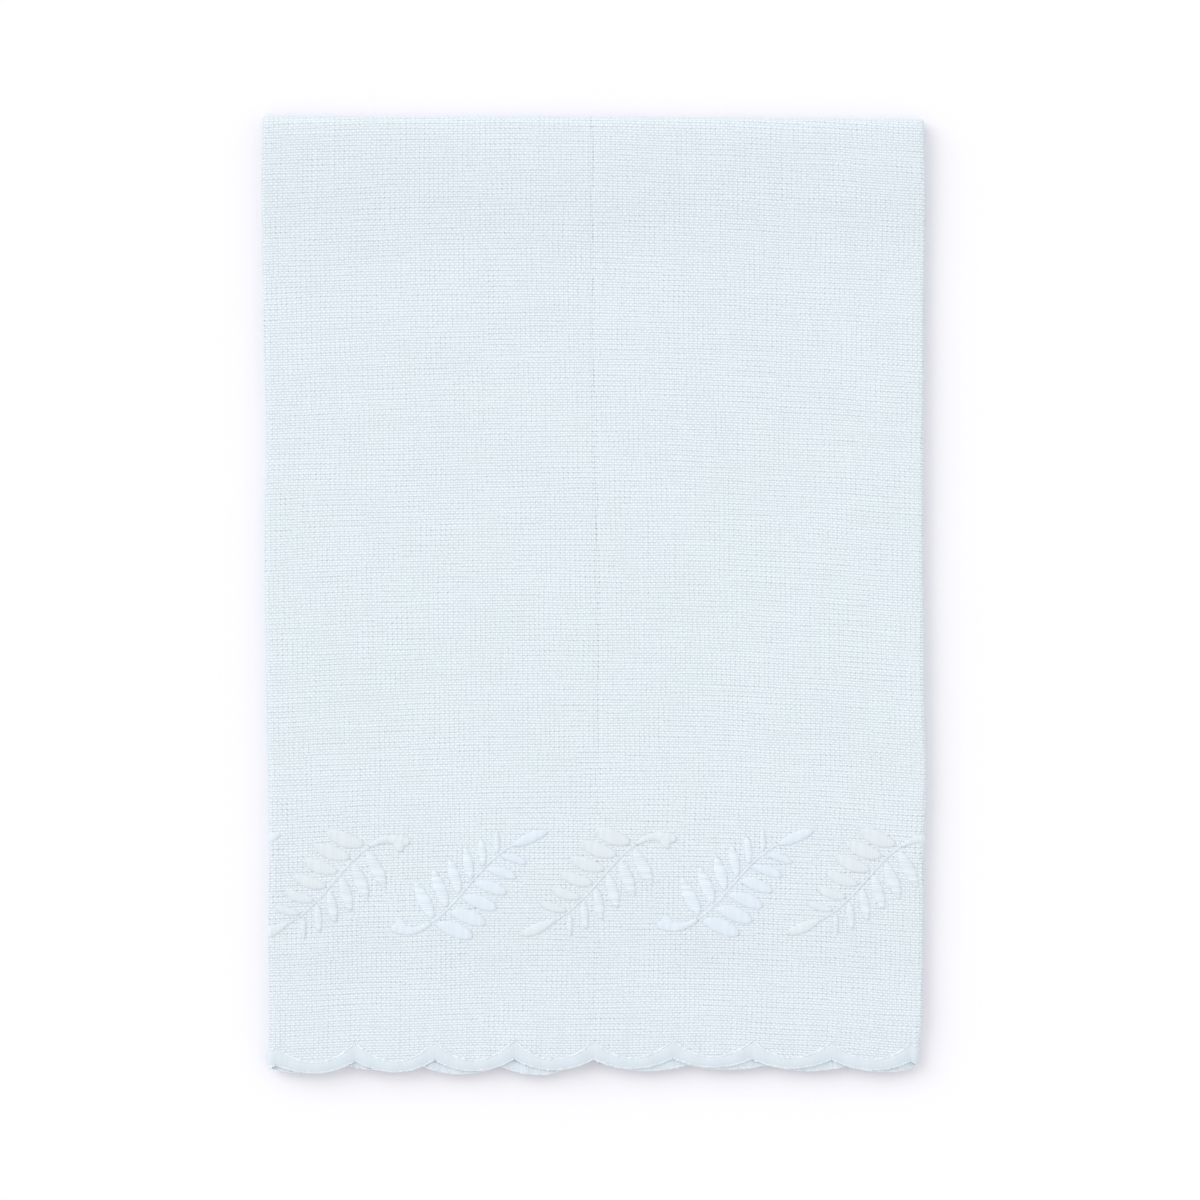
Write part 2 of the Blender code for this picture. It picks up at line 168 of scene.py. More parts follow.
# How the stack swells at the cross fold and sinks at its scalloped end, in parts of its height.
# Columns: height up the folded towel, swell.
STACK_SWELL = (
    (-140.0, -0.12),
    (-121.0, 0.03),
    (-106.0, -0.03),
    (-84.0, 0.02),
    (-20.0, 0.03),
    (60.0, 0.01),
    (100.0, -0.05),
    (122.0, 0.01),
    (134.0, 0.07),
    (140.0, 0.05),
)

# %% Small tools for reading the tables


def ease(fraction):
    """Smooth a 0 to 1 fraction at both ends."""
    return fraction * fraction * (3 - 2 * fraction)


def clamp(value):
    """The nearest value from 0 to 1."""
    return min(1.0, max(0.0, value))


def blend(low, high, part):
    """The value that lies a part of the way from low to high."""
    return low + part * (high - low)


def read_table(table, place, column):
    """A column's value at a place between the rows, which run upwards in their first column."""
    if place <= table[0][0]:
        return table[0][column]
    for low, high in zip(table, table[1:]):
        if place <= high[0]:
            part = ease((place - low[0]) / (high[0] - low[0]))
            return blend(low[column], high[column], part)
    return table[-1][column]


def evenly(start, end, spacing):
    """Places from start to end, both included, about a spacing apart."""
    steps = max(1, round(abs(end - start) / spacing))
    return [blend(start, end, step / steps) for step in range(steps + 1)]


print("slit half way up, mm right of the middle:", round(read_table(FOLD_DRIFT, 0.0, 2), 2))

# %% [markdown]
# ## Creases and puckers
#
# Pressed linen is never quite flat. The panel sinks a little along the slit between the flaps
# behind it, thread draws the cloth in around the stitching, and each layer has its own faint
# waves. The flaps' scalloped ends are pressed up against the panel in front of them, so that
# no dark gap shows between the two. All of this could be sculpted, but it is only a handful of
# soft troughs and ridges, so each has its own short formula. They are added to the lift, and
# the stitches, which use the same rule, follow the cloth that they are worked on.

# %% Soft troughs and waves
SLIT_TROUGH = 0.13
SLIT_TROUGH_HALF_WIDTH = 0.75
SLIT_FAINTEST = 0.25
SLIT_FADES_BELOW = 104.0
SLIT_FADE_LENGTH = 22.0
SATIN_PUCKER = 0.10
SATIN_PUCKER_REACH = 7.0
SATIN_PUCKER_WAVE = 6.8
SATIN_PUCKER_STRAY = 2.5
SATIN_PUCKER_STRAYS_OVER = 15.0
BORDER_PUCKER = 0.12
BORDER_PUCKER_SIZE = 5.5
BORDER_MIDDLE = 54.85
BORDER_REACH = 30.0
LAYER_WAVE = 0.15
LAYER_WAVE_ACROSS = 70.0
LAYER_WAVE_ALONG = 46.0
END_CLOSING = 0.62
END_CLOSES_ALONG = 9.0
END_CLOSES_ACROSS = 2.5


def slit_trough(across, along):
    """The panel sinks into the gap where the two flaps behind it meet."""
    from_scallops = min(along, 2 * FOLD_LINE - along)
    clear_of_end = clamp((from_scallops - SLIT_FADES_BELOW) / SLIT_FADE_LENGTH + 1)
    shown = blend(SLIT_FAINTEST, 1.0, ease(clear_of_end))
    return -SLIT_TROUGH * shown * exp(-((across / SLIT_TROUGH_HALF_WIDTH) ** 2))


def puckers(across, along):
    """The cloth is drawn in beside the satin edge and around the sprigs."""
    beyond = max(0.0, along - SATIN_PUCKER_REACH)
    stray = SATIN_PUCKER_STRAY * noise.noise((across / SATIN_PUCKER_STRAYS_OVER, 0, 3))
    wave = sin(2 * pi * across / SATIN_PUCKER_WAVE + stray)
    beside_edge = SATIN_PUCKER * exp(-beyond / SATIN_PUCKER_REACH) * wave
    near_border = ease(clamp(1 - abs(along - BORDER_MIDDLE) / BORDER_REACH))
    place = Vector((across, along, 0)) / BORDER_PUCKER_SIZE
    return beside_edge + BORDER_PUCKER * near_border * noise.noise(place)


def layer_waves(across, along):
    """Long, faint waves that each layer has for itself."""
    place = Vector((across / LAYER_WAVE_ACROSS, along / LAYER_WAVE_ALONG, 7))
    return LAYER_WAVE * noise.noise(place)


def end_closing(across, along):
    """The flaps' scalloped ends are pressed up against the panel in front of them."""
    on_flap = ease(clamp((abs(across) - BEND_END) / END_CLOSES_ACROSS))
    return -END_CLOSING * on_flap * ease(clamp(1 - along / END_CLOSES_ALONG))


print("slit trough, mm:", round(slit_trough(0.0, 200.0), 3))

# %% The folds as a rule


def half_arc(across):
    """The cloth that goes half way round the cross fold, less where the flaps slip out."""
    past = abs(across) - BEND_START
    if past <= 0:
        return PANEL_HALF_ARC
    return PANEL_HALF_ARC - read_table(FLAP_SLIP, past, 1 if across < 0 else 2)


def fold_sides(across, lift):
    """Fold a long side to the back: sideways place and depth below the panel's middle."""
    side = -1.0 if across < 0 else 1.0
    reach = abs(across)
    if reach <= BEND_START:
        return across, lift
    if reach >= BEND_END:
        return side * (BEND_START + BEND_END - reach), -2 * FLAP_BEND_RADIUS - lift
    angle = (reach - BEND_START) / FLAP_BEND_RADIUS
    radius = FLAP_BEND_RADIUS + lift
    return side * (BEND_START + radius * sin(angle)), radius * cos(angle) - FLAP_BEND_RADIUS


def fold_across(along, rise, arc):
    """Fold the towel in half, plain end behind: place up the towel and depth."""
    radius = rise + CROSS_AXIS_DEPTH
    beyond = along - FOLD_LINE
    if abs(beyond) < arc:
        angle = beyond / arc * pi / 2
        return CROSS_AXIS_UP + radius * cos(angle), -radius * sin(angle)
    up = CROSS_AXIS_UP - (abs(beyond) - arc)
    return up, radius if beyond < 0 else -radius


def drift(x, y):
    """Move a place in the ruled stack to where the cloth really lies."""
    side = min(1.0, abs(x) / FOLDED_HALF_WIDTH)
    slit = read_table(FOLD_DRIFT, y, 2)
    edge = read_table(FOLD_DRIFT, y, 1 if x < 0 else 3)
    up_part = clamp(y / (2 * FOLDED_TOP) + 0.5)
    end = read_table(END_DRIFT, x, 1)
    top = read_table(END_DRIFT, x, 2)
    return x + blend(slit, edge, side), y + blend(end, top, up_part)


def lay(across, along, lift):
    """The place of a point of the flat cloth once the towel is folded."""
    lift += slit_trough(across, along) + puckers(across, along) + end_closing(across, along)
    x, rise = fold_sides(across, lift)
    y, z = fold_across(along, rise, half_arc(across))
    x, y = drift(x, y)
    z = (z + STACK_HEIGHT / 2) * (1 + read_table(STACK_SWELL, y, 1)) + layer_waves(across, along)
    return Vector((x, y, z))


print("scallop tip lies at, mm:", [round(value, 1) for value in lay(SATIN_PUCKER_WAVE, 0.0, 0.0)])

# %% [markdown]
# ## The scalloped outline
#
# The end of the cloth is cut along shallow bows that meet in sharp cusps. A bow is a parabola,
# so one short formula gives the cut edge, and the same formula, deeper, gives the line where
# the satin stitch ends on the cloth. The cut is trimmed a little above the ruled tips, since
# the thread that wraps round it adds to its reach.

# %% Scallops
SCALLOP_COUNT = 16
SCALLOP_PITCH = 23.41
SCALLOP_TRIM = 0.6
SCALLOP_DEPTH = 3.0
SATIN_WIDTH = 3.5
SATIN_CUSP_DEPTH = 5.2
STITCHED_HALF_WIDTH = SCALLOP_COUNT * SCALLOP_PITCH / 2

# How much deeper than ruled the scallops' bows are worked, as their cusps stray.
# Columns: place across the cloth, extra depth.
CUSP_STRAY = (
    (-93.0, -0.5),
    (-72.0, 0.3),
    (-40.0, 0.45),
    (0.0, 0.05),
    (45.0, -0.45),
    (93.0, -0.15),
    (110.0, -1.4),
)


def scallop_rise(across):
    """0 at the tip of a scallop and 1 at the cusp between two, along a bow."""
    place = min(abs(across), STITCHED_HALF_WIDTH) / SCALLOP_PITCH
    part = place - floor(place)
    return (2 * part - 1) ** 2 if place < SCALLOP_COUNT / 2 else 1.0


def bow(across, depth):
    """How far a scalloped line of some ruled depth lies above its tips."""
    return (depth + read_table(CUSP_STRAY, across, 1)) * scallop_rise(across)


def cut_edge(across):
    """Where the cloth ends, below the satin stitch."""
    return SCALLOP_TRIM + bow(across, SCALLOP_DEPTH)


def satin_edge(across):
    """Where the satin stitch ends on the cloth."""
    return SATIN_WIDTH + bow(across, SATIN_CUSP_DEPTH)


print("satin stitch is", round(SATIN_WIDTH - SCALLOP_TRIM, 1), "mm deep at a tip,",
      round(satin_edge(0) - cut_edge(0), 1), "mm at a cusp")

# %% [markdown]
# ## The cloth
#
# The cloth starts as a flat grid from `bmesh.ops.create_grid`. Its rows and columns are then
# moved to where the cloth needs them: close together at the folds, the slit and the border,
# and far apart where nothing happens. `extrude_face_region` gives the sheet its wrong side.
# The satin stitch presses the scalloped end thinner. The hem is turned from the same cloth, so
# it is only a thicker strip at the plain end, with a groove where its stitches pull the cloth
# in. Only then is the whole sheet folded.

# %% Where the grid's rows and columns lie
HEM_WIDTH = 10.0
HEM_PLY = 0.3
HEM_STEP = 0.6
HEM_STITCH_AT = 1.6
HEM_GROOVE = 0.22
HEM_GROOVE_BEHIND = 0.11
HEM_GROOVE_HALF_WIDTH = 0.3
ROUNDED_RIM = 0.35
LEAST_RIM = 0.3
PRESSED_END = 0.5
PRESSED_END_REACH = 3.5
SCALLOPS_REACH = 12.0

# How far apart the grid's columns and rows are.
SLIT_REACH = 1.6
SLIT_COLUMNS = 0.4
PANEL_COLUMNS = SCALLOP_PITCH / 16
BEND_COLUMNS = FLAP_BEND_RADIUS * radians(24)
FLAP_COLUMNS = SCALLOP_PITCH / 12
HEM_CLEAR = 0.5
STITCHES_CLEAR = 1.0
SCALLOP_ROWS = 1.2
BORDER_ROWS = 1.7
PANEL_ROWS = 4.2
FOLD_ROWS = 0.55
BACK_ROWS = 6.0
HEM_ROWS = 3.0


def joined(*stretches):
    """Several runs of places as one, in order and with none twice."""
    return sorted({round(place, 4) for stretch in stretches for place in stretch})


def columns():
    """Places across the cloth."""
    half = CLOTH_WIDTH / 2
    slit = evenly(-SLIT_REACH, SLIT_REACH, SLIT_COLUMNS)
    panel = evenly(SLIT_REACH, BEND_START, PANEL_COLUMNS)
    bend = evenly(BEND_START, BEND_END, BEND_COLUMNS)
    flap = evenly(BEND_END, half - 2 * ROUNDED_RIM, FLAP_COLUMNS)
    rim = evenly(half - 2 * ROUNDED_RIM, half, ROUNDED_RIM / 2)
    right = panel + bend + flap + rim
    return joined(slit, right, [-place for place in right])


def rows():
    """Places along the cloth."""
    fold_start = FOLD_LINE - PANEL_HALF_ARC
    fold_end = FOLD_LINE + PANEL_HALF_ARC
    hem_start = CLOTH_LENGTH - HEM_WIDTH
    stitches = hem_start + HEM_STITCH_AT
    groove = [stitches - HEM_GROOVE_HALF_WIDTH, stitches, stitches + HEM_GROOVE_HALF_WIDTH]
    return joined(
        evenly(0.0, SCALLOPS_REACH, SCALLOP_ROWS),
        evenly(SCALLOPS_REACH, BORDER_MIDDLE + BORDER_REACH, BORDER_ROWS),
        evenly(BORDER_MIDDLE + BORDER_REACH, fold_start, PANEL_ROWS),
        evenly(fold_start, fold_end, FOLD_ROWS),
        evenly(fold_end, hem_start - HEM_CLEAR, BACK_ROWS),
        [hem_start, hem_start + HEM_STEP],
        groove,
        evenly(stitches + STITCHES_CLEAR, CLOTH_LENGTH - 2 * ROUNDED_RIM, HEM_ROWS),
        evenly(CLOTH_LENGTH - 2 * ROUNDED_RIM, CLOTH_LENGTH, ROUNDED_RIM / 2),
    )


print("columns and rows of the cloth:", len(columns()), len(rows()))

# %% The flat sheet


def shape_end(across, along):
    """Draw the last rows of the cloth up to its scalloped outline."""
    return along + cut_edge(across) * max(0.0, 1 - along / SCALLOPS_REACH)


def rim_part(across, along):
    """How much of its thickness the cloth has near its sides and plain end, which are rounded."""
    inside = min(CLOTH_WIDTH / 2 - abs(across), CLOTH_LENGTH - along)
    turn = clamp(1 - inside / ROUNDED_RIM)
    return blend(LEAST_RIM, 1.0, sqrt(1 - turn * turn))


def end_part(across, along):
    """How much of its thickness the cloth keeps where the satin stitch presses its end."""
    return blend(PRESSED_END, 1.0, ease(clamp((along - cut_edge(across)) / PRESSED_END_REACH)))


def hem_ply(along):
    """The turned hem adds to the wrong side."""
    return HEM_PLY * ease(clamp((along - (CLOTH_LENGTH - HEM_WIDTH)) / HEM_STEP))


def hem_groove(along, depth):
    """The hem's stitches sink the cloth on both sides."""
    from_stitches = along - (CLOTH_LENGTH - HEM_WIDTH + HEM_STITCH_AT)
    return depth * exp(-((from_stitches / HEM_GROOVE_HALF_WIDTH) ** 2))


def flat_sheet():
    """The cut and hemmed cloth, flat on its chart, with both its sides."""
    across_places = columns()
    along_places = rows()
    last_column = len(across_places) - 1
    last_row = len(along_places) - 1
    sheet = bmesh.new()
    bmesh.ops.create_grid(sheet, x_segments=last_column, y_segments=last_row, size=0.5)
    for vert in sheet.verts:
        across = across_places[round((vert.co.x + 0.5) * last_column)]
        along = along_places[round((vert.co.y + 0.5) * last_row)]
        vert.co = (across, shape_end(across, along), 0)
    wrong_side = bmesh.ops.extrude_face_region(sheet, geom=sheet.faces[:])
    below = {item for item in wrong_side["geom"] if isinstance(item, bmesh.types.BMVert)}
    for vert in sheet.verts:
        across, along, _ = vert.co
        half = CLOTH_THICKNESS / 2 * rim_part(across, along) * end_part(across, along)
        if vert in below:
            vert.co.z = -half - hem_ply(along) + hem_groove(along, HEM_GROOVE_BEHIND)
        else:
            vert.co.z = half - hem_groove(along, HEM_GROOVE)
    bmesh.ops.recalc_face_normals(sheet, faces=sheet.faces)
    return sheet


sheet = flat_sheet()
print("faces of the flat sheet:", len(sheet.faces))

# %% A UV map of the flat chart, and folding
UV_SPAN = CLOTH_LENGTH


def chart_the_cloth(sheet):
    """Keep each corner's place on the flat chart as its UV, one unit to the cloth's length."""
    chart = sheet.loops.layers.uv.new("flat_cloth")
    for face in sheet.faces:
        for loop in face.loops:
            across, along, _ = loop.vert.co
            loop[chart].uv = (across / UV_SPAN + 0.5, along / UV_SPAN)


def fold(mesh):
    """Lay every point of a flat piece where it goes in the folded towel, in millimetres."""
    for vert in mesh.verts:
        vert.co = lay(*vert.co)


def span(mesh):
    """Lowest and highest corner of a mesh."""
    low = Vector([min(vert.co[axis] for vert in mesh.verts) for axis in range(3)])
    high = Vector([max(vert.co[axis] for vert in mesh.verts) for axis in range(3)])
    return low, high


chart_the_cloth(sheet)
fold(sheet)
low, high = span(sheet)
cad_middle = (cad_low + cad_high) / 2 / METRES
middle = (low + high) / 2
SEAT = Vector((cad_middle.x - middle.x, cad_middle.y - middle.y, -low.z))
print("folded cloth, mm:", [round(side, 1) for side in high - low])

# %% From a folded bmesh to a piece of the towel
SHARPER_THAN = radians(60)


def make_piece(name, mesh):
    """Turn a folded bmesh into an object whose place is in its mesh, in metres."""
    bmesh.ops.translate(mesh, verts=mesh.verts, vec=SEAT)
    bmesh.ops.scale(mesh, verts=mesh.verts, vec=(METRES, METRES, METRES))
    data = bpy.data.meshes.new(name)
    mesh.to_mesh(data)
    mesh.free()
    data.shade_smooth()
    piece = bpy.data.objects.new(name, data)
    bpy.context.scene.collection.objects.link(piece)
    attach(piece, "root")
    return piece


towel_cloth = make_piece("towel_cloth", sheet)
towel_cloth.data.set_sharp_from_angle(angle=SHARPER_THAN)
print("cloth triangles:", 2 * len(towel_cloth.data.polygons))

# %% [markdown]
# ## Satin stitch
#
# In satin stitch, threads lie side by side across a shape, and padding below makes it stand
# up from the cloth. A leaf could be a smooth bump with a striped material, but its threads are
# what catches the light. So a stroke of stitching is a grid rolled into a closed tube: its
# rows follow the stroke, three to a thread, low in the gap and high on the thread, and its
# columns go round a cross-section that is rounded above and flat below. The flat side is sunk
# into the cloth, out of sight.

# %% Strokes of thread
ROWS_PER_THREAD = 3
CREST = (0.0, 1.0, 0.92)
SUNK = 0.15
TAPERS_BELOW = 0.4
WELD = 0.004

# Cross-sections of a stroke, from one side over the top to the other side.
# Columns: place across in half widths, part of the height.
PADDED_SECTION = (
    (-1.0, 0.0),
    (-0.94, 0.55),
    (-0.66, 0.88),
    (0.0, 1.0),
    (0.66, 0.88),
    (0.94, 0.55),
    (1.0, 0.0),
)
ROUND_SECTION = (
    (-1.0, 0.0),
    (-0.72, 0.72),
    (0.0, 1.0),
    (0.72, 0.72),
    (1.0, 0.0),
)
WHOLE_SECTION = ROUND_SECTION + (
    (0.72, -0.72),
    (0.0, -1.0),
    (-0.72, -0.72),
)


def heading(path, part):
    """The way a path runs at a part of its length."""
    step = 0.004
    before = path(max(0.0, part - step))
    after = path(min(1.0, part + step))
    return (after - before).normalized()


def path_length(path):
    """The length of a path, measured in short steps."""
    steps = 60
    points = [path(step / steps) for step in range(steps + 1)]
    return sum((end - start).length for start, end in zip(points, points[1:]))


class Needle:
    """Works strokes of thread into one flat bmesh, each thread a little uneven."""

    def __init__(self, seed):
        self.mesh = bmesh.new()
        self.chart = self.mesh.loops.layers.uv.new("thread_run")
        # A float on each vertex: the stroke's painted sheen, which mixes the thread's dull and
        # bright tints.
        self.sheen_and_streaks = self.mesh.verts.layers.float.new("sheen_and_streaks")
        self.chance = random.Random(seed)

    def stroke(self, path, half_width, section, rise, pitch,
               base=CLOTH_THICKNESS / 2, lean=0.0, ridge=0.2, notch=0.06, uneven=0.05, sheen_and_streaks=0.5):
        """Wind one stroke of thread along a path of the flat cloth.

        path and half_width give a point and a width at a part of the way. Lean slants the
        threads, ridge is how deep the gaps between them are, notch how far they draw in the
        stroke's edges, and uneven how much one thread differs from the next. The last argument is
        the stroke's painted sheen, which makes its colour lighter or darker for the light it
        catches.
        """
        threads = max(2, round(path_length(path) / pitch))
        last = threads * ROWS_PER_THREAD
        ring = len(section)
        grid = bmesh.ops.create_grid(self.mesh, x_segments=last, y_segments=ring, size=0.5)
        tallness = [1 + uneven * self.chance.uniform(-1, 1) for _ in range(threads + 1)]
        reach = [1 + uneven * self.chance.uniform(-1, 1) for _ in range(threads + 1)]
        shift = [uneven * self.chance.uniform(-1, 1) for _ in range(threads + 1)]
        widest = max(half_width(step / 20) for step in range(21))
        runs = {}
        for vert in grid["verts"]:
            row = round((vert.co.x + 0.5) * last)
            column = round((vert.co.y + 0.5) * ring) % ring
            thread, in_thread = divmod(row, ROWS_PER_THREAD)
            crest = CREST[in_thread]
            part = row / last
            half = half_width(part) * (reach[thread] if crest else 1) * (1 - notch * (1 - crest))
            height = rise * (tallness[thread] if crest else 1) * (1 - ridge * (1 - crest))
            height *= min(1.0, sqrt(half / (TAPERS_BELOW * widest)))
            across_part, up_part = section[column]
            way = heading(path, part)
            side = Vector((-way.y, way.x))
            sideways = half * (across_part + shift[thread] * (1 if crest else 0))
            spot = path(part) + side * sideways + way * (lean * half * across_part)
            lift = base - SUNK + (height + SUNK) * up_part if half > 0 else base - SUNK
            vert.co = (spot.x, spot.y, lift)
            vert[self.sheen_and_streaks] = sheen_and_streaks
            runs[vert] = (row / ROWS_PER_THREAD, (across_part + 1) / 2)
        for face in {face for vert in grid["verts"] for face in vert.link_faces}:
            for loop in face.loops:
                loop[self.chart].uv = runs[loop.vert]
        return threads

    def finished(self):
        """Close the tubes along their seams and at their ends, with their faces outwards."""
        bmesh.ops.remove_doubles(self.mesh, verts=self.mesh.verts, dist=WELD)
        bmesh.ops.recalc_face_normals(self.mesh, faces=self.mesh.faces)
        return self.mesh


# %% [markdown]
# ## The sprigs
#
# A sprig has a thin curved stem, six pairs of leaves that shrink towards its head, a plump
# leaf at its head, and a hooked tail with a barb. The leaves above the stem stand nearly
# upright, with their threads level, and the ones below it lie nearly level, with their threads
# upright, so the two rows catch the light differently; this is painted into their colour as a
# painted sheen, lighter on the upright leaves. Each leaf could be drawn by itself, but the
# embroiderer's pattern is regular: each size below is given for the stem's foot and for its
# head, and the leaves between follow from a loop.

# %% Sizes of a sprig
SPRIG_COUNT = 9
SPRIG_PITCH = 38.9
SPRIG_SHIFT = 0.95
LEAF_PAIRS = 6
SHRINK_POWER = 1.6
LEAF_RISE = 0.42
# Painted sheen of the tail: how light its colour is for the light it catches.
TAIL_SHEEN = 0.5
LEAF_THREAD = 0.58
STEM_HALF_WIDTH = 0.44
STEM_RISE = 0.22
STEM_THREAD = 0.8
FIRST_PAIR_AT = 0.03
LAST_PAIR_AT = 0.81
PRESSED = 0.3

STEM = (Vector((-10.4, -11.1)), Vector((-2.0, -6.0)), Vector((3.0, 6.0)), Vector((14.0, 11.5)))
STEM_STEPS = 61

# The hooked tail below the stem's foot.
# Columns: across, along, half width.
TAIL = (
    (-10.4, -11.2, 0.55),
    (-13.5, -12.8, 1.0),
    (-16.5, -13.3, 1.35),
    (-19.4, -12.8, 1.65),
    (-22.1, -12.4, 0.0),
)

# The leaves either side of the stem, first those above it and then those below it.
# Each row: the leaf at the stem's foot, the leaf at its head, and what all of them share.
# At the foot and at the head: start across and along from the stem, angle, length, width.
# Shared: arch, where it is fullest (more than 1 is towards its tip), how pointed its ends are,
# angle of its stitches, how uneven they are, painted sheen.
PAIRED_LEAVES = (
    ((-0.4, 0.7, 115.0, 11.8, 3.9), (0.0, 0.7, 91.0, 6.8, 1.7),
     (0.0, 0.95, 0.62, 178.0, 0.09, 0.8)),
    ((0.9, -1.3, -17.5, 11.1, 4.6), (0.9, -0.1, -15.0, 8.0, 2.4),
     (0.3, 1.1, 0.48, 90.0, 0.02, 0.4)),
)

# The leaf that ends the stem and the barb on the tail, with the same numbers, the start from
# the sprig's middle.
LONE_LEAVES = (
    ((13.0, 10.9, 21.0, 11.2, 3.3), (0.3, 1.1, 0.62, 90.0, 0.03, 0.4)),
    ((-18.3, -13.6, 107.0, 4.3, 3.0), (0.0, 0.8, 0.62, 178.0, 0.03, 0.4)),
)

print("sprigs on the cloth:", SPRIG_COUNT, "and leaves on each:", 2 * LEAF_PAIRS + len(LONE_LEAVES))

# %% The lines of a sprig
stem_points = interpolate_bezier(*STEM, STEM_STEPS)
stem_runs = [(end - start).length for start, end in zip(stem_points, stem_points[1:])]


def along_stem(part):
    """The point that lies a part of the stem's length from its foot."""
    to_go = part * sum(stem_runs)
    for start, end, run in zip(stem_points, stem_points[1:], stem_runs):
        if to_go <= run:
            return start.lerp(end, to_go / run)
        to_go -= run
    return stem_points[-1]


def stem_half_width(part):
    """The stem grows finer towards its head."""
    return STEM_HALF_WIDTH * blend(1.1, 0.8, part)


def through(points, part):
    """A point of the smooth line through several points."""
    place = part * (len(points) - 1)
    index = min(int(place), len(points) - 2)
    before = points[max(index - 1, 0)]
    start, end = points[index], points[index + 1]
    after = points[min(index + 2, len(points) - 1)]
    t = place - index
    return ((start * 2 + (end - before) * t + (before * 2 - start * 5 + end * 4 - after) * t * t
             + (start * 3 - before - end * 3 + after) * t ** 3) / 2)


def along_tail(part):
    """A point of the tail."""
    return through([Vector((across, along)) for across, along, _ in TAIL], part)


def tail_half_width(part):
    """The tail swells and then ends in a point."""
    place = part * (len(TAIL) - 1)
    index = min(int(place), len(TAIL) - 2)
    if index == len(TAIL) - 2:
        return TAIL[index][2] * sqrt(max(0.0, 1 - (place - index) ** 1.6))
    return blend(TAIL[index][2], TAIL[index + 1][2], place - index)


def one_leaf(start, angle, length, width, arch, fullest, pointed, stitch, uneven, sheen_and_streaks):
    """A leaf's middle line, half width, slant of its stitches, unevenness and painted sheen."""
    way = Vector((cos(radians(angle)), sin(radians(angle))))
    side = Vector((-way.y, way.x))

    def middle(part):
        return start + way * length * part + side * arch * sin(pi * part)

    def half_width(part):
        return width / 2 * max(0.0, sin(pi * part ** fullest)) ** pointed if part < 1 else 0.0

    return middle, half_width, tan(radians(angle + 90 - stitch)), uneven, sheen_and_streaks


def all_leaves():
    """Every leaf of a sprig, with its lines and its stitches."""
    leaves = []
    for pair in range(LEAF_PAIRS):
        grown = pair / (LEAF_PAIRS - 1)
        base = along_stem(blend(FIRST_PAIR_AT, LAST_PAIR_AT, grown))
        for foot, head, shared in PAIRED_LEAVES:
            shrunk = grown ** SHRINK_POWER
            across, along, angle = [blend(*ends, grown) for ends in zip(foot[:3], head[:3])]
            length, width = [blend(*ends, shrunk) for ends in zip(foot[3:], head[3:])]
            leaves.append(one_leaf(base + Vector((across, along)), angle, length, width, *shared))
    for (across, along, *size), shared in LONE_LEAVES:
        leaves.append(one_leaf(Vector((across, along)), *size, *shared))
    return leaves


print("stem length, mm:", round(path_length(along_stem), 1))

# %% Working the sprigs


def placed(path, turn, place):
    """The same path on a sprig that is turned about its middle and moved to its place."""
    spin = Matrix.Rotation(turn, 2)
    return lambda part: spin @ path(part) + place


def work_sprig(index):
    """One sprig in its place on the flat cloth. Every second one is turned about."""
    from_middle = index - SPRIG_COUNT // 2
    place = Vector((from_middle * SPRIG_PITCH + SPRIG_SHIFT, BORDER_MIDDLE))
    turn = pi if from_middle % 2 == 0 else 0.0
    pressed = blend(1.0, PRESSED, clamp((abs(place.x) - BEND_START) / SPRIG_PITCH))
    needle = Needle(seed=40 + index)
    # Each stroke's last number is its painted sheen: how light its colour is for the light it
    # catches.
    threads = needle.stroke(placed(along_stem, turn, place), stem_half_width,
                            ROUND_SECTION, STEM_RISE * pressed, STEM_THREAD,
                            lean=0.9, ridge=0.45, notch=0.2, uneven=0.1, sheen_and_streaks=0.7)
    threads += needle.stroke(placed(along_tail, turn, place), tail_half_width,
                             PADDED_SECTION, LEAF_RISE * pressed, LEAF_THREAD,
                             ridge=0.08, uneven=0.03, sheen_and_streaks=TAIL_SHEEN)
    for middle, half_width, lean, uneven, sheen_and_streaks in all_leaves():
        threads += needle.stroke(placed(middle, turn, place), half_width,
                                 PADDED_SECTION, LEAF_RISE * pressed, LEAF_THREAD,
                                 lean=lean, ridge=2.2 * uneven, notch=0.7 * uneven,
                                 uneven=uneven, sheen_and_streaks=sheen_and_streaks)
    mesh = needle.finished()
    fold(mesh)
    sprig = make_piece(f"sprig_{index + 1}", mesh)
    return sprig, threads


sprigs = []
for index in range(SPRIG_COUNT):
    sprig, threads = work_sprig(index)
    sprigs.append(sprig)
    print(sprig.name, "threads:", threads, "faces:", len(sprig.data.polygons))

# %% [markdown]
# ## The scalloped satin edge
#
# Here the threads run up and down, side by side along the whole end of the cloth, and each
# one wraps round the cut edge to the wrong side. It is the same rolled grid as before, but its
# cross-section goes right round the edge of the cloth. The band's colour is painted brightest at
# its inner edge, with painted shade towards the cut, where its threads turn away from the light.
# Along the inner edge, where the needle goes in, runs a thin line of knots, and a finer one runs
# along the cut edge, round which the threads turn; both are painted light, as a highlight. On the
# wrong side, random streaks run from thread to thread.

# %% The wrapped edge
EDGE_THREAD = 0.36
EDGE_RISE = 0.34
EDGE_WRAP = 0.16
EDGE_RIDGE = 0.035
EDGE_STRAY = 0.10
EDGE_STRAY_AT_CUT = 0.6
# Painted sheen of the band's right side, and how fast it gives way to painted shade towards the
# cut.
EDGE_SHEEN = 0.45
EDGE_SHADING = 1.8
WRONG_SIDE_LUSTRE = (-0.1, 0.8)

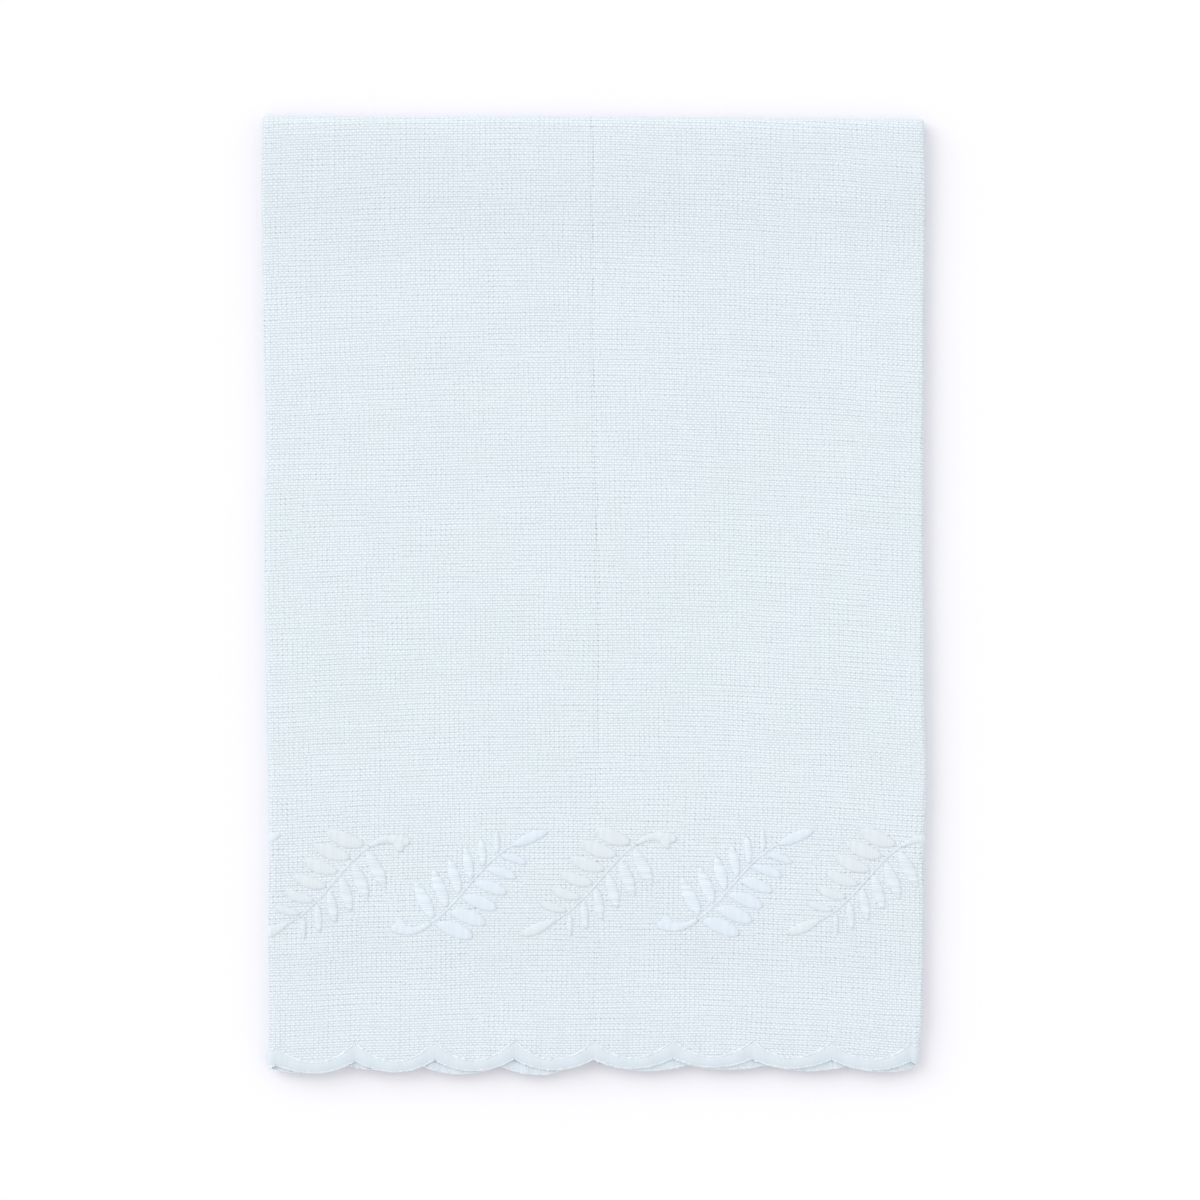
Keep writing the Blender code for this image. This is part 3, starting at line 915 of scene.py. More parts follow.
# The wrapped cross-section, from the inner edge on the right side, round the cut edge, to the
# inner edge on the wrong side.
# Columns: part of the way to the cut edge, part of the half thickness, part of the thread's height.
WRAPPED_SECTION = (
    (0.00, 0.4, 0.0),
    (0.04, 1.0, 0.5),
    (0.14, 1.0, 0.9),
    (0.35, 0.95, 0.95),
    (0.65, 0.80, 0.7),
    (0.90, 0.56, 0.5),
    (1.00, 0.40, 0.3),
    (1.04, 0.0, 0.0),
    (1.00, -0.40, -0.3),
    (0.88, -0.58, -0.4),
    (0.50, -0.90, -0.6),
    (0.10, -1.0, -0.7),
    (0.00, -0.4, 0.0),
)


def work_edge():
    """The satin stitch round the scalloped end, flat."""
    mesh = bmesh.new()
    chart = mesh.loops.layers.uv.new("thread_run")
    sheen_and_streaks = mesh.verts.layers.float.new("sheen_and_streaks")
    chance = random.Random(7)
    threads = round(2 * STITCHED_HALF_WIDTH / EDGE_THREAD)
    last = threads * ROWS_PER_THREAD
    ring = len(WRAPPED_SECTION)
    stray_in = [chance.uniform(-1, 1) * EDGE_STRAY for _ in range(threads + 1)]
    stray_out = [chance.uniform(-1, 1) * EDGE_STRAY * EDGE_STRAY_AT_CUT for _ in range(threads + 1)]
    streak = [chance.uniform(*WRONG_SIDE_LUSTRE) for _ in range(threads + 1)]
    bmesh.ops.create_grid(mesh, x_segments=last, y_segments=ring, size=0.5)
    runs = {}
    for vert in mesh.verts:
        row = round((vert.co.x + 0.5) * last)
        column = round((vert.co.y + 0.5) * ring) % ring
        thread, in_thread = divmod(row, ROWS_PER_THREAD)
        across = blend(-STITCHED_HALF_WIDTH, STITCHED_HALF_WIDTH, row / last)
        crest = CREST[in_thread]
        out_part, thick_part, thread_part = WRAPPED_SECTION[column]
        inner = satin_edge(across) + (stray_in[thread] if crest else 0)
        outer = cut_edge(across) - EDGE_WRAP + (stray_out[thread] if crest else 0)
        outwards = 1 if thick_part > 0 else -1
        thread_height = EDGE_RISE * thread_part - EDGE_RIDGE * (1 - crest) * outwards
        lift = CLOTH_THICKNESS / 2 * thick_part + (thread_height if thread_part else 0)
        vert.co = (across, blend(inner, outer, out_part), lift)
        # Painted shade: the right side's colour darkens towards the cut, where the threads turn
        # away from the light. The wrong side gets random streaks.
        right_side = EDGE_SHEEN * clamp(EDGE_SHADING * (1.0 - out_part))
        vert[sheen_and_streaks] = right_side if thick_part > 0 else streak[thread]
        runs[vert] = (row / ROWS_PER_THREAD, out_part)
    for face in mesh.faces:
        for loop in face.loops:
            loop[chart].uv = runs[loop.vert]
    bmesh.ops.remove_doubles(mesh, verts=mesh.verts, dist=WELD)
    ends = [edge for edge in mesh.edges if edge.is_boundary]
    bmesh.ops.holes_fill(mesh, edges=ends)
    bmesh.ops.recalc_face_normals(mesh, faces=mesh.faces)
    return mesh, threads


mesh, threads = work_edge()
fold(mesh)
scallop_satin = make_piece("scallop_satin", mesh)
print("threads round the scallops:", threads, "faces:", len(scallop_satin.data.polygons))

# %% The knotted strands along its edges
STRAND_HALF_WIDTH = 0.37
STRAND_RISE = 0.30
STRAND_KNOT = 0.62
STRAND_BASE = CLOTH_THICKNESS / 2 + EDGE_RISE * 0.35
PURL_HALF_WIDTH = 0.30
PURL_RISE = 0.36
PURL_KNOT = 0.9
PURL_BEYOND = 0.05


def beside_cut(across):
    """The line of the purl, just beyond the cut edge."""
    return cut_edge(across) - PURL_BEYOND


def work_strand(seed, line, half_width, section, rise, knot, base, uneven, sheen_and_streaks):
    """A strand along the scalloped end, bow by bow, because it turns sharply at each cusp."""

    def finer_at_cusps(part):
        return half_width * min(1.0, 6 * (1 - abs(2 * part - 1)) + 0.5)

    needle = Needle(seed=seed)
    for scallop in range(SCALLOP_COUNT):
        def one_bow(part, scallop=scallop):
            across = (scallop + part - SCALLOP_COUNT / 2) * SCALLOP_PITCH
            return Vector((across, line(across)))
        needle.stroke(one_bow, finer_at_cusps, section, rise, knot, base=base,
                      lean=0.5, ridge=0.3, notch=0.25, uneven=uneven, sheen_and_streaks=sheen_and_streaks)
    mesh = needle.finished()
    bmesh.ops.holes_fill(mesh, edges=[edge for edge in mesh.edges if edge.is_boundary])
    bmesh.ops.recalc_face_normals(mesh, faces=mesh.faces)
    fold(mesh)
    return mesh


# The strand and the purl carry a painted highlight: their sheen is set high, so their colour is
# light.
strand = work_strand(3, satin_edge, STRAND_HALF_WIDTH, ROUND_SECTION,
                     STRAND_RISE, STRAND_KNOT, STRAND_BASE, uneven=0.3, sheen_and_streaks=1.0)
scallop_strand = make_piece("scallop_strand", strand)
purl = work_strand(5, beside_cut, PURL_HALF_WIDTH, WHOLE_SECTION,
                   PURL_RISE, PURL_KNOT, SUNK, uneven=0.35, sheen_and_streaks=0.6)
scallop_purl = make_piece("scallop_purl", purl)
for strand in (scallop_strand, scallop_purl):
    print(strand.name, "faces:", len(strand.data.polygons))

# %% [markdown]
# ## The hem's stitches
#
# The plain end lies at the back, against the table. A row of short running stitches holds its
# hem, sunk in the groove that they pull in the cloth. They repeat more than a hundred times,
# so each has only a few faces.

# %% Hem stitches
HEM_STITCH = 2.3
HEM_STITCH_GAP = 0.7
HEM_STITCH_HALF_WIDTH = 0.2
HEM_STITCH_RISE = 0.13
HEM_THREAD = 0.8


def hem_half_width(part):
    """A stitch dives into the cloth at both its ends."""
    return HEM_STITCH_HALF_WIDTH * sqrt(sin(pi * part)) if 0 < part < 1 else 0.0


def work_hem():
    """Short stitches along the hem, on its right side."""
    needle = Needle(seed=11)
    along = CLOTH_LENGTH - HEM_WIDTH + HEM_STITCH_AT
    start = -CLOTH_WIDTH / 2 + 2 * HEM_STITCH_GAP
    count = int((CLOTH_WIDTH - 4 * HEM_STITCH_GAP) / (HEM_STITCH + HEM_STITCH_GAP))
    for index in range(count):
        left = start + index * (HEM_STITCH + HEM_STITCH_GAP)
        needle.stroke(lambda part, left=left: Vector((left + HEM_STITCH * part, along)),
                      hem_half_width, ROUND_SECTION, HEM_STITCH_RISE, HEM_THREAD,
                      base=CLOTH_THICKNESS / 2 - HEM_GROOVE, uneven=0.02, ridge=0.1)
    return needle, count


needle, count = work_hem()
mesh = needle.finished()
fold(mesh)
hem_stitches = make_piece("hem_stitches", mesh)
print("hem stitches:", count, "faces:", len(hem_stitches.data.polygons))

# %% [markdown]
# ## Building materials from nodes
#
# A few short helpers keep the node trees readable: one adds a node, one links a socket or sets
# it to a number, and one does a piece of arithmetic, with two more for the sums that come up
# most. Effects that more than one material uses are node groups, which give out only masks,
# heights and tones.

# %% Node helpers


def add_node(tree, kind, **settings):
    """A new node with its settings."""
    made = tree.nodes.new(kind)
    for name, value in settings.items():
        setattr(made, name, value)
    return made


def feed(tree, socket, source):
    """Link a socket to another, or set it to a plain value."""
    if isinstance(source, bpy.types.NodeSocket):
        tree.links.new(source, socket)
    else:
        socket.default_value = source


def sums(tree, operation, *terms):
    """One piece of arithmetic."""
    made = add_node(tree, "ShaderNodeMath", operation=operation)
    for socket, term in zip(made.inputs, terms):
        feed(tree, socket, term)
    return made.outputs[0]


def times(tree, value, factor):
    """One value times another."""
    return sums(tree, "MULTIPLY", value, factor)


def centred(tree, value):
    """A value from 0 to 1 moved to lie between -0.5 and 0.5."""
    return sums(tree, "SUBTRACT", value, 0.5)


def between(tree, value, low, high, from_low=0.0, from_high=1.0):
    """Spread a value over another range, and keep it inside."""
    made = add_node(tree, "ShaderNodeMapRange")
    for name, term in (("Value", value), ("From Min", from_low), ("From Max", from_high),
                       ("To Min", low), ("To Max", high)):
        feed(tree, made.inputs[name], term)
    return made.outputs["Result"]


def join_xyz(tree, x, y, z=0.0):
    """A vector from its parts."""
    made = add_node(tree, "ShaderNodeCombineXYZ")
    for socket, term in zip(made.inputs, (x, y, z)):
        feed(tree, socket, term)
    return made.outputs[0]


def cloudy(tree, vector, scale, detail=2.0):
    """Soft noise from 0 to 1."""
    made = add_node(tree, "ShaderNodeTexNoise")
    feed(tree, made.inputs["Vector"], vector)
    feed(tree, made.inputs["Scale"], scale)
    feed(tree, made.inputs["Detail"], detail)
    return made.outputs["Fac"]


def chance_of(tree, vector):
    """A number from 0 to 1 that is the same all over one whole-numbered cell."""
    made = add_node(tree, "ShaderNodeTexWhiteNoise", noise_dimensions="3D")
    feed(tree, made.inputs["Vector"], vector)
    return made.outputs["Value"]


def new_group(name, inputs, outputs):
    """An empty node group with its sockets: (kind, name, value) in, (kind, name) out."""
    group = bpy.data.node_groups.new(name, "ShaderNodeTree")
    for kind, label, value in inputs:
        socket = group.interface.new_socket(name=label, in_out="INPUT", socket_type=kind)
        if value is not None:
            socket.default_value = value
    for kind, label in outputs:
        group.interface.new_socket(name=label, in_out="OUTPUT", socket_type=kind)
    return group, add_node(group, "NodeGroupInput"), add_node(group, "NodeGroupOutput")


# %% [markdown]
# ## The weave
#
# In plain weave every thread goes over one and under the next, and where four of them meet
# there is a tiny hole. Linen thread is uneven: it has thick places, it wanders, and it lies in
# loose pairs, so some holes are open and dark with painted shade and others closed. The group
# below counts threads in both directions from a place on the cloth in millimetres. It gives out
# three things: how deep in a hole a place is, which the material fills with painted shade, how
# high its thread stands, and its tone, which is the thread's own lightness with painted shade in
# the gaps between threads and painted light on the weft where it floats over.

# %% The weave as a node group
WARP_PITCH = 0.706
WEFT_PITCH = 0.767

# How the threads wander from their even places, in waves a millimetre across and along them.
SLOW_WANDER = (0.045, 0.02)
QUICK_WANDER = (0.6, 0.03)
SLOW_WANDER_SHARE = 3.0

# How much lighter or darker each feature makes the cloth, in parts of its tone: painted shade in
# the gaps between threads and where they pair, painted light on the floating weft, and the threads'
# own tones.
WEFT_GAP_SHADE = 0.185
WARP_GAP_SHADE = 0.015
FLOAT_LIGHT = 0.13
PAIR_SHADE = 0.008
WEFT_OWN = 0.04
WARP_OWN = 0.04
OWN_WAVES = 0.035
OWN_SPREAD = 3.77
CROSSING_OWN = 0.05
PAIRING = 0.34
CROWN_TONE = 1.13
LIGHTEST = 1.11
LIGHTEST_SOFTNESS = 0.06

# How open the holes are, from the least to the most.
HOLE_CHANCE = (0.4, 0.97)

# How high each feature stands, in parts of the weave's relief.
WEFT_GAP_SINKS = -0.45
WARP_GAP_SINKS = -0.2
FLOAT_STANDS = 0.25
HOLE_SINKS = -0.3
WEAVE_MIDDLE = 0.7


def wave(tree, count, turns, kind="COSINE"):
    """A wave that goes a number of times round for each thread."""
    return sums(tree, kind, times(tree, count, 2 * pi * turns))


def gap(tree, count):
    """1 in the gap between two threads and 0 on their crowns, softly."""
    return sums(tree, "MULTIPLY_ADD", wave(tree, count, 1), 0.5, 0.5)


def signed_patches(tree, place, scale, seed):
    """Soft patches of 1 and -1."""
    shifted = add_node(tree, "ShaderNodeVectorMath", operation="ADD")
    feed(tree, shifted.inputs[0], place)
    shifted.inputs[1].default_value = (0.0, 0.0, seed)
    return between(tree, cloudy(tree, shifted.outputs[0], scale), -1.0, 1.0, 0.40, 0.60)


def weighted(tree, *terms):
    """A sum of sockets, each with its weight."""
    total = 0.0
    for source, weight in terms:
        total = sums(tree, "MULTIPLY_ADD", source, weight, total)
    return total


def build_weave():
    """Plain weave, from a place on the flat cloth in millimetres."""
    group, given, out = new_group(
        "plain_weave",
        [("NodeSocketVector", "Place", None), ("NodeSocketFloat", "Wander", 0.5)],
        [("NodeSocketFloat", "Hole"), ("NodeSocketFloat", "Height"), ("NodeSocketFloat", "Tone")])
    place = given.outputs["Place"]
    wander = given.outputs["Wander"]
    split = add_node(group, "ShaderNodeSeparateXYZ")
    feed(group, split.inputs[0], place)

    def unsteady(axis, other, waves, detail, seed):
        """Noise in streaks along the threads, from -0.5 to 0.5."""
        streaks = join_xyz(group, times(group, split.outputs[axis], waves[0]),
                           times(group, split.outputs[other], waves[1]), seed)
        return centred(group, cloudy(group, streaks, 1.0, detail))

    def counted(axis, other, pitch, seed):
        """The running count of threads in one direction, which wander a little."""
        slow = unsteady(axis, other, SLOW_WANDER, 3.0, seed)
        quick = unsteady(axis, other, QUICK_WANDER, 1.0, seed)
        moved = sums(group, "MULTIPLY_ADD", slow, times(group, wander, SLOW_WANDER_SHARE),
                     split.outputs[axis])
        moved = sums(group, "MULTIPLY_ADD", quick, wander, moved)
        return sums(group, "DIVIDE", moved, pitch)

    def thread_tone(count, other, seed):
        """How light one thread is, which changes slowly along it."""
        number = times(group, sums(group, "FLOOR", count), OWN_SPREAD)
        run = times(group, split.outputs[other], OWN_WAVES)
        return centred(group, cloudy(group, join_xyz(group, number, run, seed), 1.0, 1.0))

    def paired(count, scale, seed):
        """1 and -1 in turn from thread to thread, where they lie in pairs, patch by patch."""
        patches = signed_patches(group, place, scale, seed)
        return times(group, wave(group, count, 0.5), patches)

    def drawn_apart(pairs):
        """How far pairing opens a gap, from nearly closed to fully open."""
        return sums(group, "MULTIPLY_ADD", pairs, PAIRING, 1 - PAIRING)

    def nearest_gap(count):
        """The whole number of the gap that is nearest."""
        return sums(group, "FLOOR", sums(group, "ADD", count, 0.5))

    warp = counted(0, 1, WARP_PITCH, 1.5)
    weft = counted(1, 0, WEFT_PITCH, 8.5)
    warp_gap = gap(group, warp)
    weft_gap = gap(group, weft)
    weft_over = times(group, wave(group, warp, 0.5, "SINE"), wave(group, weft, 0.5, "SINE"))
    warp_pairs = paired(warp, 0.10, 3.3)
    weft_pairs = paired(weft, 0.08, 5.7)

    each = chance_of(group, join_xyz(group, nearest_gap(warp), nearest_gap(weft), 2.0))
    opened = times(group, drawn_apart(warp_pairs), drawn_apart(weft_pairs))
    hole = times(group, times(group, warp_gap, weft_gap), opened)
    feed(group, out.inputs["Hole"], times(group, hole, between(group, each, *HOLE_CHANCE)))

    height = weighted(group, (weft_gap, WEFT_GAP_SINKS), (warp_gap, WARP_GAP_SINKS),
                      (weft_over, FLOAT_STANDS), (hole, HOLE_SINKS))
    feed(group, out.inputs["Height"], sums(group, "ADD", height, WEAVE_MIDDLE))

    cell = join_xyz(group, sums(group, "FLOOR", warp), sums(group, "FLOOR", weft), 9.0)
    speck = centred(group, chance_of(group, cell))
    shades = weighted(
        group, (weft_gap, -WEFT_GAP_SHADE), (warp_gap, -WARP_GAP_SHADE), (weft_over, FLOAT_LIGHT),
        (warp_pairs, -PAIR_SHADE), (weft_pairs, -PAIR_SHADE), (speck, CROSSING_OWN),
        (thread_tone(weft, 0, 4.0), WEFT_OWN), (thread_tone(warp, 1, 9.0), WARP_OWN))
    evened = sums(group, "ADD", shades, CROWN_TONE)
    feed(group, out.inputs["Tone"], sums(group, "SMOOTH_MIN", evened, LIGHTEST, LIGHTEST_SOFTNESS))
    return group


weave = build_weave()
print("weave nodes:", len(weave.nodes))

# %% [markdown]
# ## White linen
#
# The cloth is white with a little blue in it. An even white would look like plastic, so its
# tone is broken up at three scales: the holes and threads of the weave, streaks along the
# threads, and soft clouds. Two bands across the cloth and a line along the left fold's crease are
# darkened with painted shade. Two tints of white take turns in soft patches, with the fresher one
# in the towel's middle. The weave's holes are filled with painted shade, for the shade of the layer
# behind them; it is darker over the slit, where one layer fewer lies behind them, and around the
# border, where the needle opened them. Linen is matt, with a faint bloom of fibres.

# %% Tools for a material


def new_material(name):
    """A material with a Principled shader, and its tree."""
    material = bpy.data.materials.new(name)
    material.use_nodes = True
    return material, material.node_tree, material.node_tree.nodes["Principled BSDF"]


def mixed(tree, low, high, part):
    """A colour between two others."""
    made = add_node(tree, "ShaderNodeMix", data_type="RGBA")
    feed(tree, made.inputs[0], part)
    feed(tree, made.inputs[6], low)
    feed(tree, made.inputs[7], high)
    return made.outputs[2]


def toned(tree, colour, amount):
    """A colour made lighter or darker."""
    made = add_node(tree, "ShaderNodeVectorMath", operation="SCALE")
    feed(tree, made.inputs[0], colour)
    feed(tree, made.inputs["Scale"], amount)
    return made.outputs[0]


def raised(tree, height, distance):
    """A bump, with its height in millimetres."""
    made = add_node(tree, "ShaderNodeBump")
    made.inputs["Strength"].default_value = 1.0
    made.inputs["Distance"].default_value = distance * METRES
    feed(tree, made.inputs["Height"], height)
    return made.outputs["Normal"]


def hump(tree, value, centre, half_width):
    """1 at the centre and 0 beyond the half width."""
    away = sums(tree, "ABSOLUTE", sums(tree, "SUBTRACT", value, centre))
    return between(tree, away, 1.0, 0.0, 0.0, half_width)


# %% Tones of linen
COOL_LINEN = (0.706, 0.764, 0.824, 1.0)
FRESH_LINEN = (0.700, 0.776, 0.818, 1.0)
FRESH_MIDDLE = 130.0
FRESH_REACH = 125.0
PATCH_SCALE = 0.06
# Painted shade for the weave's holes, standing for the shade of the layer behind them. The needle
# opens the holes wider around the border, and over the slit, where one layer fewer lies behind,
# their painted shade is darker.
HOLE_SHADE = (0.34, 0.385, 0.415, 1.0)
OPENED_BY_NEEDLE = 1.35
DARKER_HOLES_OVER_SLIT = 4.6
SLIT_SHADE = -0.003
SLIT_SHADE_HALF_WIDTH = 0.9
SLIT_SHOWS_LEAST = 0.4
SLIT_SHOWS_FROM = (90.0, 125.0)
WEAVE_RELIEF = 0.11

# How the weft runs across the cloth: how much it slopes, and how much it bows.
WEFT_SLOPE = 0.00875
WEFT_BOW = 0.000219

STREAK_WAVES = (0.05, 0.22)
STREAK_TONES = (0.99, 1.01)
CLOUD_SCALE = 0.035
CLOUD_TONES = (0.994, 1.006)

# Painted shade: where the cloth is a little darker, in two bands across it and along the left
# fold's crease.
# Columns: direction on the chart, middle, half width, change of tone.
PAINTED_SHADES = (
    ("along", 32.0, 20.0, -0.016),
    ("along", 252.0, 20.0, -0.020),
    ("across", -(BEND_START + BEND_END) / 2, 1.3, -0.07),
)
print("shades pressed into the linen:", len(PAINTED_SHADES))

# %% Linen


def cloth_place(tree):
    """A place on the flat cloth in millimetres, with 0 across on its middle."""
    chart = add_node(tree, "ShaderNodeUVMap", uv_map="flat_cloth")
    split = add_node(tree, "ShaderNodeSeparateXYZ")
    feed(tree, split.inputs[0], chart.outputs[0])
    across = times(tree, centred(tree, split.outputs[0]), UV_SPAN)
    along = times(tree, split.outputs[1], UV_SPAN)
    return across, along


def woven_at(tree, across, along):
    """The weave at a place on the cloth."""
    slope = sums(tree, "MULTIPLY_ADD", across, WEFT_BOW, WEFT_SLOPE)
    straightened = sums(tree, "ADD", along, times(tree, across, slope))
    woven = add_node(tree, "ShaderNodeGroup", node_tree=weave)
    feed(tree, woven.inputs["Place"], join_xyz(tree, across, straightened))
    return woven


def slit_mask(tree, across, along):
    """1 over the slit between the flaps, and less towards the scalloped end."""
    near = hump(tree, across, 0.0, SLIT_SHADE_HALF_WIDTH)
    return times(tree, near, between(tree, along, SLIT_SHOWS_LEAST, 1.0, *SLIT_SHOWS_FROM))


def linen_tone(tree, across, along, woven_tone, over_slit):
    """How light the cloth is, with painted shade in bands across it, along the left fold and over
    the slit.
    """
    waves_across, waves_along = STREAK_WAVES
    streaks = join_xyz(tree, times(tree, across, waves_across), times(tree, along, waves_along))
    streaks = between(tree, cloudy(tree, streaks, 1.0, 4.0), *STREAK_TONES, 0.25, 0.75)
    clouds = cloudy(tree, join_xyz(tree, across, along), CLOUD_SCALE)
    clouds = between(tree, clouds, *CLOUD_TONES, 0.3, 0.7)
    tone = times(tree, times(tree, woven_tone, streaks), clouds)
    for direction, middle, half_width, change in PAINTED_SHADES:
        shade = hump(tree, along if direction == "along" else across, middle, half_width)
        tone = sums(tree, "MULTIPLY_ADD", shade, change, tone)
    return sums(tree, "MULTIPLY_ADD", over_slit, SLIT_SHADE, tone)


def linen_tint(tree, across, along):
    """The two tints of white."""
    patches = cloudy(tree, join_xyz(tree, across, along, 40.0), PATCH_SCALE)
    patches = between(tree, patches, 0.0, 1.0, 0.35, 0.65)
    in_middle = hump(tree, along, FRESH_MIDDLE, FRESH_REACH)
    fresh = weighted(tree, (patches, 0.7), (in_middle, 0.8))
    return mixed(tree, COOL_LINEN, FRESH_LINEN, between(tree, fresh, 0.0, 1.0, 0.3, 1.2))


def hole_mask(tree, along, hole, over_slit):
    """How much of the holes' painted shade a place shows: more where the needle opened the weave
    around the border, and darker over the slit.
    """
    opened = between(tree, hump(tree, along, BORDER_MIDDLE, BORDER_REACH), 1.0, OPENED_BY_NEEDLE)
    slit_darkening = times(tree, over_slit, hole)
    return times(tree, hole, sums(tree, "MULTIPLY_ADD", slit_darkening, DARKER_HOLES_OVER_SLIT, opened))


def linen_material():
    """White plain-weave linen."""
    material, tree, shader = new_material("white_linen")
    across, along = cloth_place(tree)
    woven = woven_at(tree, across, along)
    over_slit = slit_mask(tree, across, along)
    holes = hole_mask(tree, along, woven.outputs["Hole"], over_slit)
    # The holes of the weave are filled with painted shade.
    colour = mixed(tree, linen_tint(tree, across, along), HOLE_SHADE, holes)
    tone = linen_tone(tree, across, along, woven.outputs["Tone"], over_slit)
    feed(tree, shader.inputs["Base Color"], toned(tree, colour, tone))
    feed(tree, shader.inputs["Normal"], raised(tree, woven.outputs["Height"], WEAVE_RELIEF))
    shader.inputs["Roughness"].default_value = 0.88
    shader.inputs["Specular IOR Level"].default_value = 0.25
    shader.inputs["Sheen Weight"].default_value = 0.08
    shader.inputs["Sheen Roughness"].default_value = 0.6
    return material


linen = linen_material()
towel_cloth.data.materials.append(linen)
print("linen nodes:", len(linen.node_tree.nodes))

# %% [markdown]
# ## Embroidery thread
#
# The thread is smoother and shinier than the cloth. Along a stroke it is lighter on the crown
# of each thread, with painted shade in the gaps, no two threads are quite alike, and a fine
# twist runs across them. Two threads of slightly different white take turns from sprig to
# sprig. A float attribute on each vertex is a painted sheen: it says how much light a leaf
# catches from the way its threads lie, and how much they show one by one. On the wrong side of
# the scalloped edge the same attribute holds random streaks instead.

# %% Thread
TWIST_RELIEF = 0.008
TWIST_TURNS = 60.0
TWIST_STEP = 9.0


def build_floss():
    """Threads that lie side by side, counted along the stroke."""
    group, given, out = new_group(
        "floss",
        [("NodeSocketVector", "Run", None), ("NodeSocketFloat", "Seam Shade", 0.12),
         ("NodeSocketFloat", "Unevenness", 0.06)],
        [("NodeSocketFloat", "Tone"), ("NodeSocketFloat", "Height")])
    split = add_node(group, "ShaderNodeSeparateXYZ")
    feed(group, split.inputs[0], given.outputs["Run"])
    count, across = split.outputs[0], split.outputs[1]
    # Painted shade in the seams between threads.
    seam = sums(group, "POWER", gap(group, count), 2.0)
    own = chance_of(group, join_xyz(group, sums(group, "FLOOR", count), 0.0, 1.0))
    patchy = cloudy(group, join_xyz(group, count, times(group, across, 3.0)), 0.35)
    uneven = sums(group, "ADD", centred(group, own), centred(group, patchy))
    tone = sums(group, "MULTIPLY_ADD", uneven, given.outputs["Unevenness"], 1.0)
    tone = sums(group, "SUBTRACT", tone, times(group, seam, given.outputs["Seam Shade"]))
    feed(group, out.inputs["Tone"], tone)
    turned = sums(group, "MULTIPLY_ADD", across, TWIST_TURNS, times(group, count, TWIST_STEP))
    feed(group, out.inputs["Height"], sums(group, "SINE", turned))
    return group


floss = build_floss()


def thread_material(name, dull, bright, seam_shade, unevenness):
    """Embroidery thread between two tints, mixed by a painted sheen, with painted shade in its
    seams.
    """
    material, tree, shader = new_material(name)
    chart = add_node(tree, "ShaderNodeUVMap", uv_map="thread_run")
    strands = add_node(tree, "ShaderNodeGroup", node_tree=floss)
    feed(tree, strands.inputs["Run"], chart.outputs[0])
    feed(tree, strands.inputs["Seam Shade"], seam_shade)
    feed(tree, strands.inputs["Unevenness"], unevenness)
    # Painted sheen: a vertex attribute mixes the dull and bright tints and sets how much the
    # threads show one by one. On the edge's wrong side it holds random streaks.
    sheen_and_streaks = add_node(tree, "ShaderNodeAttribute", attribute_name="sheen_and_streaks")
    colour = mixed(tree, dull, bright, sheen_and_streaks.outputs["Fac"])
    contrast = between(tree, sheen_and_streaks.outputs["Fac"], 0.3, 1.0, 0.3, 0.8)
    off_one = sums(tree, "SUBTRACT", strands.outputs["Tone"], 1.0)
    tone = sums(tree, "MULTIPLY_ADD", off_one, contrast, 1.0)
    feed(tree, shader.inputs["Base Color"], toned(tree, colour, tone))
    feed(tree, shader.inputs["Normal"], raised(tree, strands.outputs["Height"], TWIST_RELIEF))
    shader.inputs["Roughness"].default_value = 0.55
    shader.inputs["Specular IOR Level"].default_value = 0.35
    shader.inputs["Sheen Weight"].default_value = 0.1
    return material


# Each thread's dull tint and bright tint, mixed by painted sheen, or on the edge's wrong side by
# random streaks; how dark the painted shade in its seams is; and its unevenness.
THREADS = {
    "bright_thread": ((0.665, 0.74, 0.82, 1), (0.775, 0.85, 0.925, 1), 0.12, 0.10),
    "soft_thread": ((0.68, 0.735, 0.765, 1), (0.76, 0.83, 0.89, 1), 0.12, 0.10),
    "edge_thread": ((0.64, 0.71, 0.77, 1), (0.745, 0.81, 0.87, 1), 0.05, 0.06),
    "strand_thread": ((0.75, 0.82, 0.88, 1), (0.845, 0.90, 0.945, 1), 0.08, 0.12),
}
spools = {name: thread_material(name, *looks) for name, looks in THREADS.items()}

for index, sprig in enumerate(sprigs):
    turned_about = (index - SPRIG_COUNT // 2) % 2 == 0
    sprig.data.materials.append(spools["soft_thread" if turned_about else "bright_thread"])
for piece in (scallop_satin, hem_stitches):
    piece.data.materials.append(spools["edge_thread"])
# The knotted strands get the lightest thread, a painted highlight.
for piece in (scallop_strand, scallop_purl):
    piece.data.materials.append(spools["strand_thread"])
print("threads wound:", ", ".join(spools))

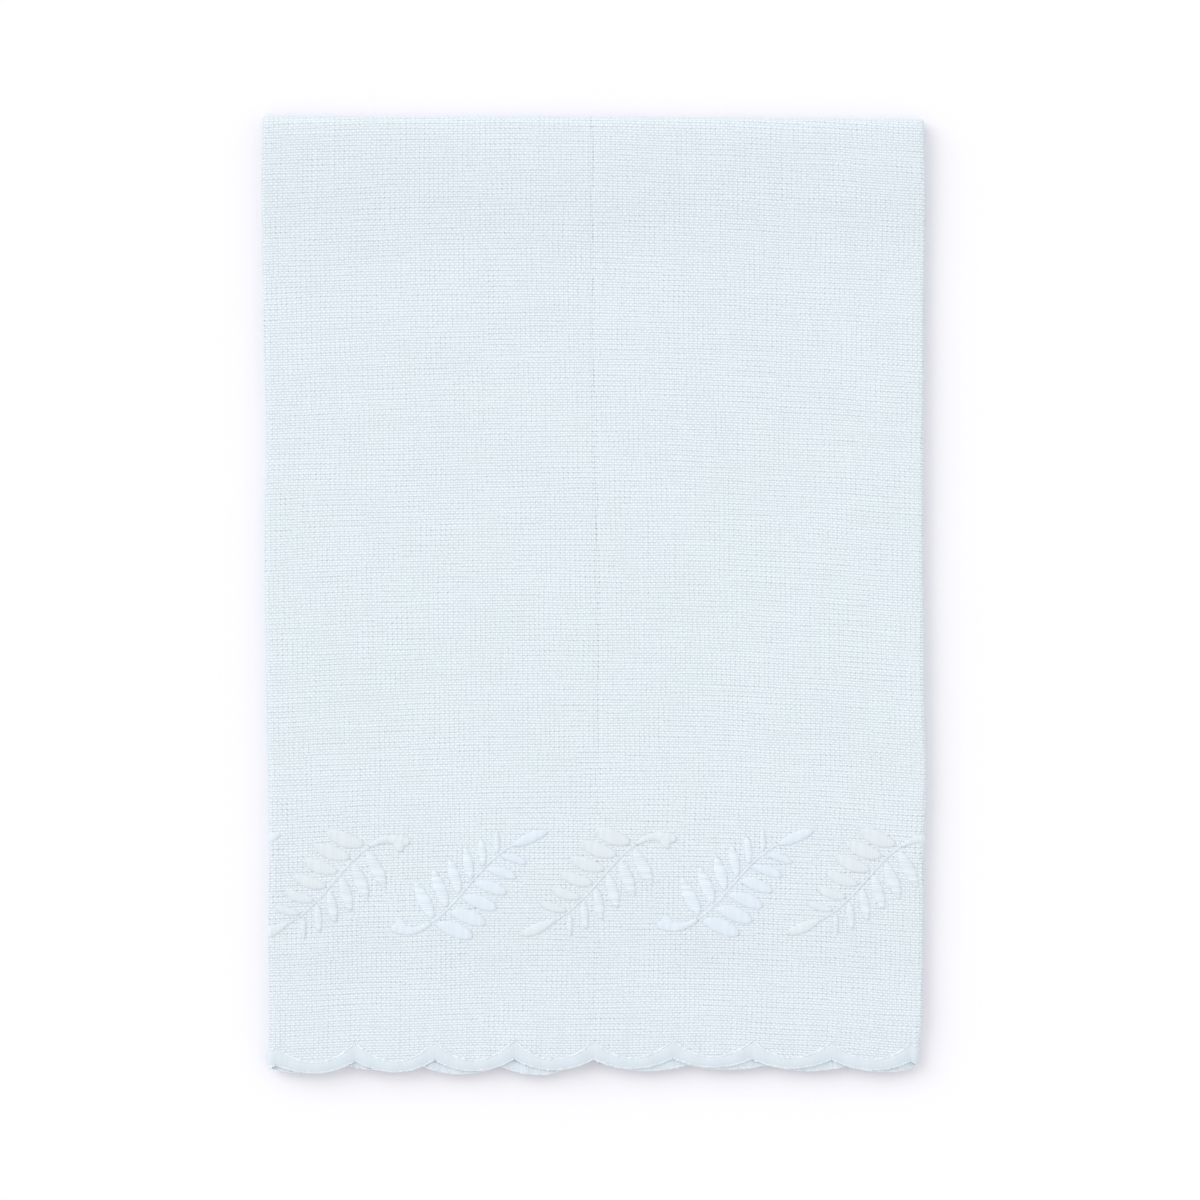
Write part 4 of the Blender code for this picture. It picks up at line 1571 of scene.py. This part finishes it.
# %% [markdown]
# ## The table and the light
#
# The towel lies on white, in soft light that comes mostly from the upper left, so a narrow
# shadow shows below it and to its right. A bright, even sky gives the light from all sides,
# and a sun with a very wide disc gives the soft shadow.

# %% Table, sky and sun
TABLE_HALF = 20.0
TABLE_TINTS = ((0.885, 0.878, 0.915, 1.0), (0.905, 0.898, 0.935, 1.0))
TABLE_GRAIN = 900.0
SKY = 0.96
SUN = 0.92
SUN_WIDTH = 50.0
SUN_FROM = Vector((-0.75, 0.62, 0.70))


def add_table():
    """A large white table top."""
    mesh = bmesh.new()
    bmesh.ops.create_grid(mesh, x_segments=1, y_segments=1, size=TABLE_HALF)
    data = bpy.data.meshes.new("table_top")
    mesh.to_mesh(data)
    mesh.free()
    table = bpy.data.objects.new("table_top", data)
    bpy.context.scene.collection.objects.link(table)
    material, tree, shader = new_material("white_table")
    spots = add_node(tree, "ShaderNodeTexCoord")
    grain = cloudy(tree, spots.outputs["Object"], TABLE_GRAIN, 3.0)
    feed(tree, shader.inputs["Base Color"], mixed(tree, *TABLE_TINTS, grain))
    shader.inputs["Roughness"].default_value = 0.9
    shader.inputs["Specular IOR Level"].default_value = 0.1
    data.materials.append(material)
    return table


def add_light():
    """A bright sky and a wide, soft sun from the upper left."""
    world = bpy.data.worlds.new("sky")
    world.use_nodes = True
    world.node_tree.nodes["Background"].inputs["Color"].default_value = (1.0, 1.0, 1.0, 1.0)
    world.node_tree.nodes["Background"].inputs["Strength"].default_value = SKY
    bpy.context.scene.world = world
    light = bpy.data.lights.new("sun", "SUN")
    light.energy = SUN
    light.angle = radians(SUN_WIDTH)
    sun = bpy.data.objects.new("sun", light)
    sun.rotation_mode = "QUATERNION"
    sun.rotation_quaternion = SUN_FROM.to_track_quat("Z", "Y")
    bpy.context.scene.collection.objects.link(sun)


table = add_table()
add_light()
bpy.context.scene.view_settings.view_transform = "Standard"
print("on the", table.name, "under a sky of", SKY, "and a sun of", SUN)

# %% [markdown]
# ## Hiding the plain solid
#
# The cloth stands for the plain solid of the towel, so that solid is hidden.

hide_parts("towel")
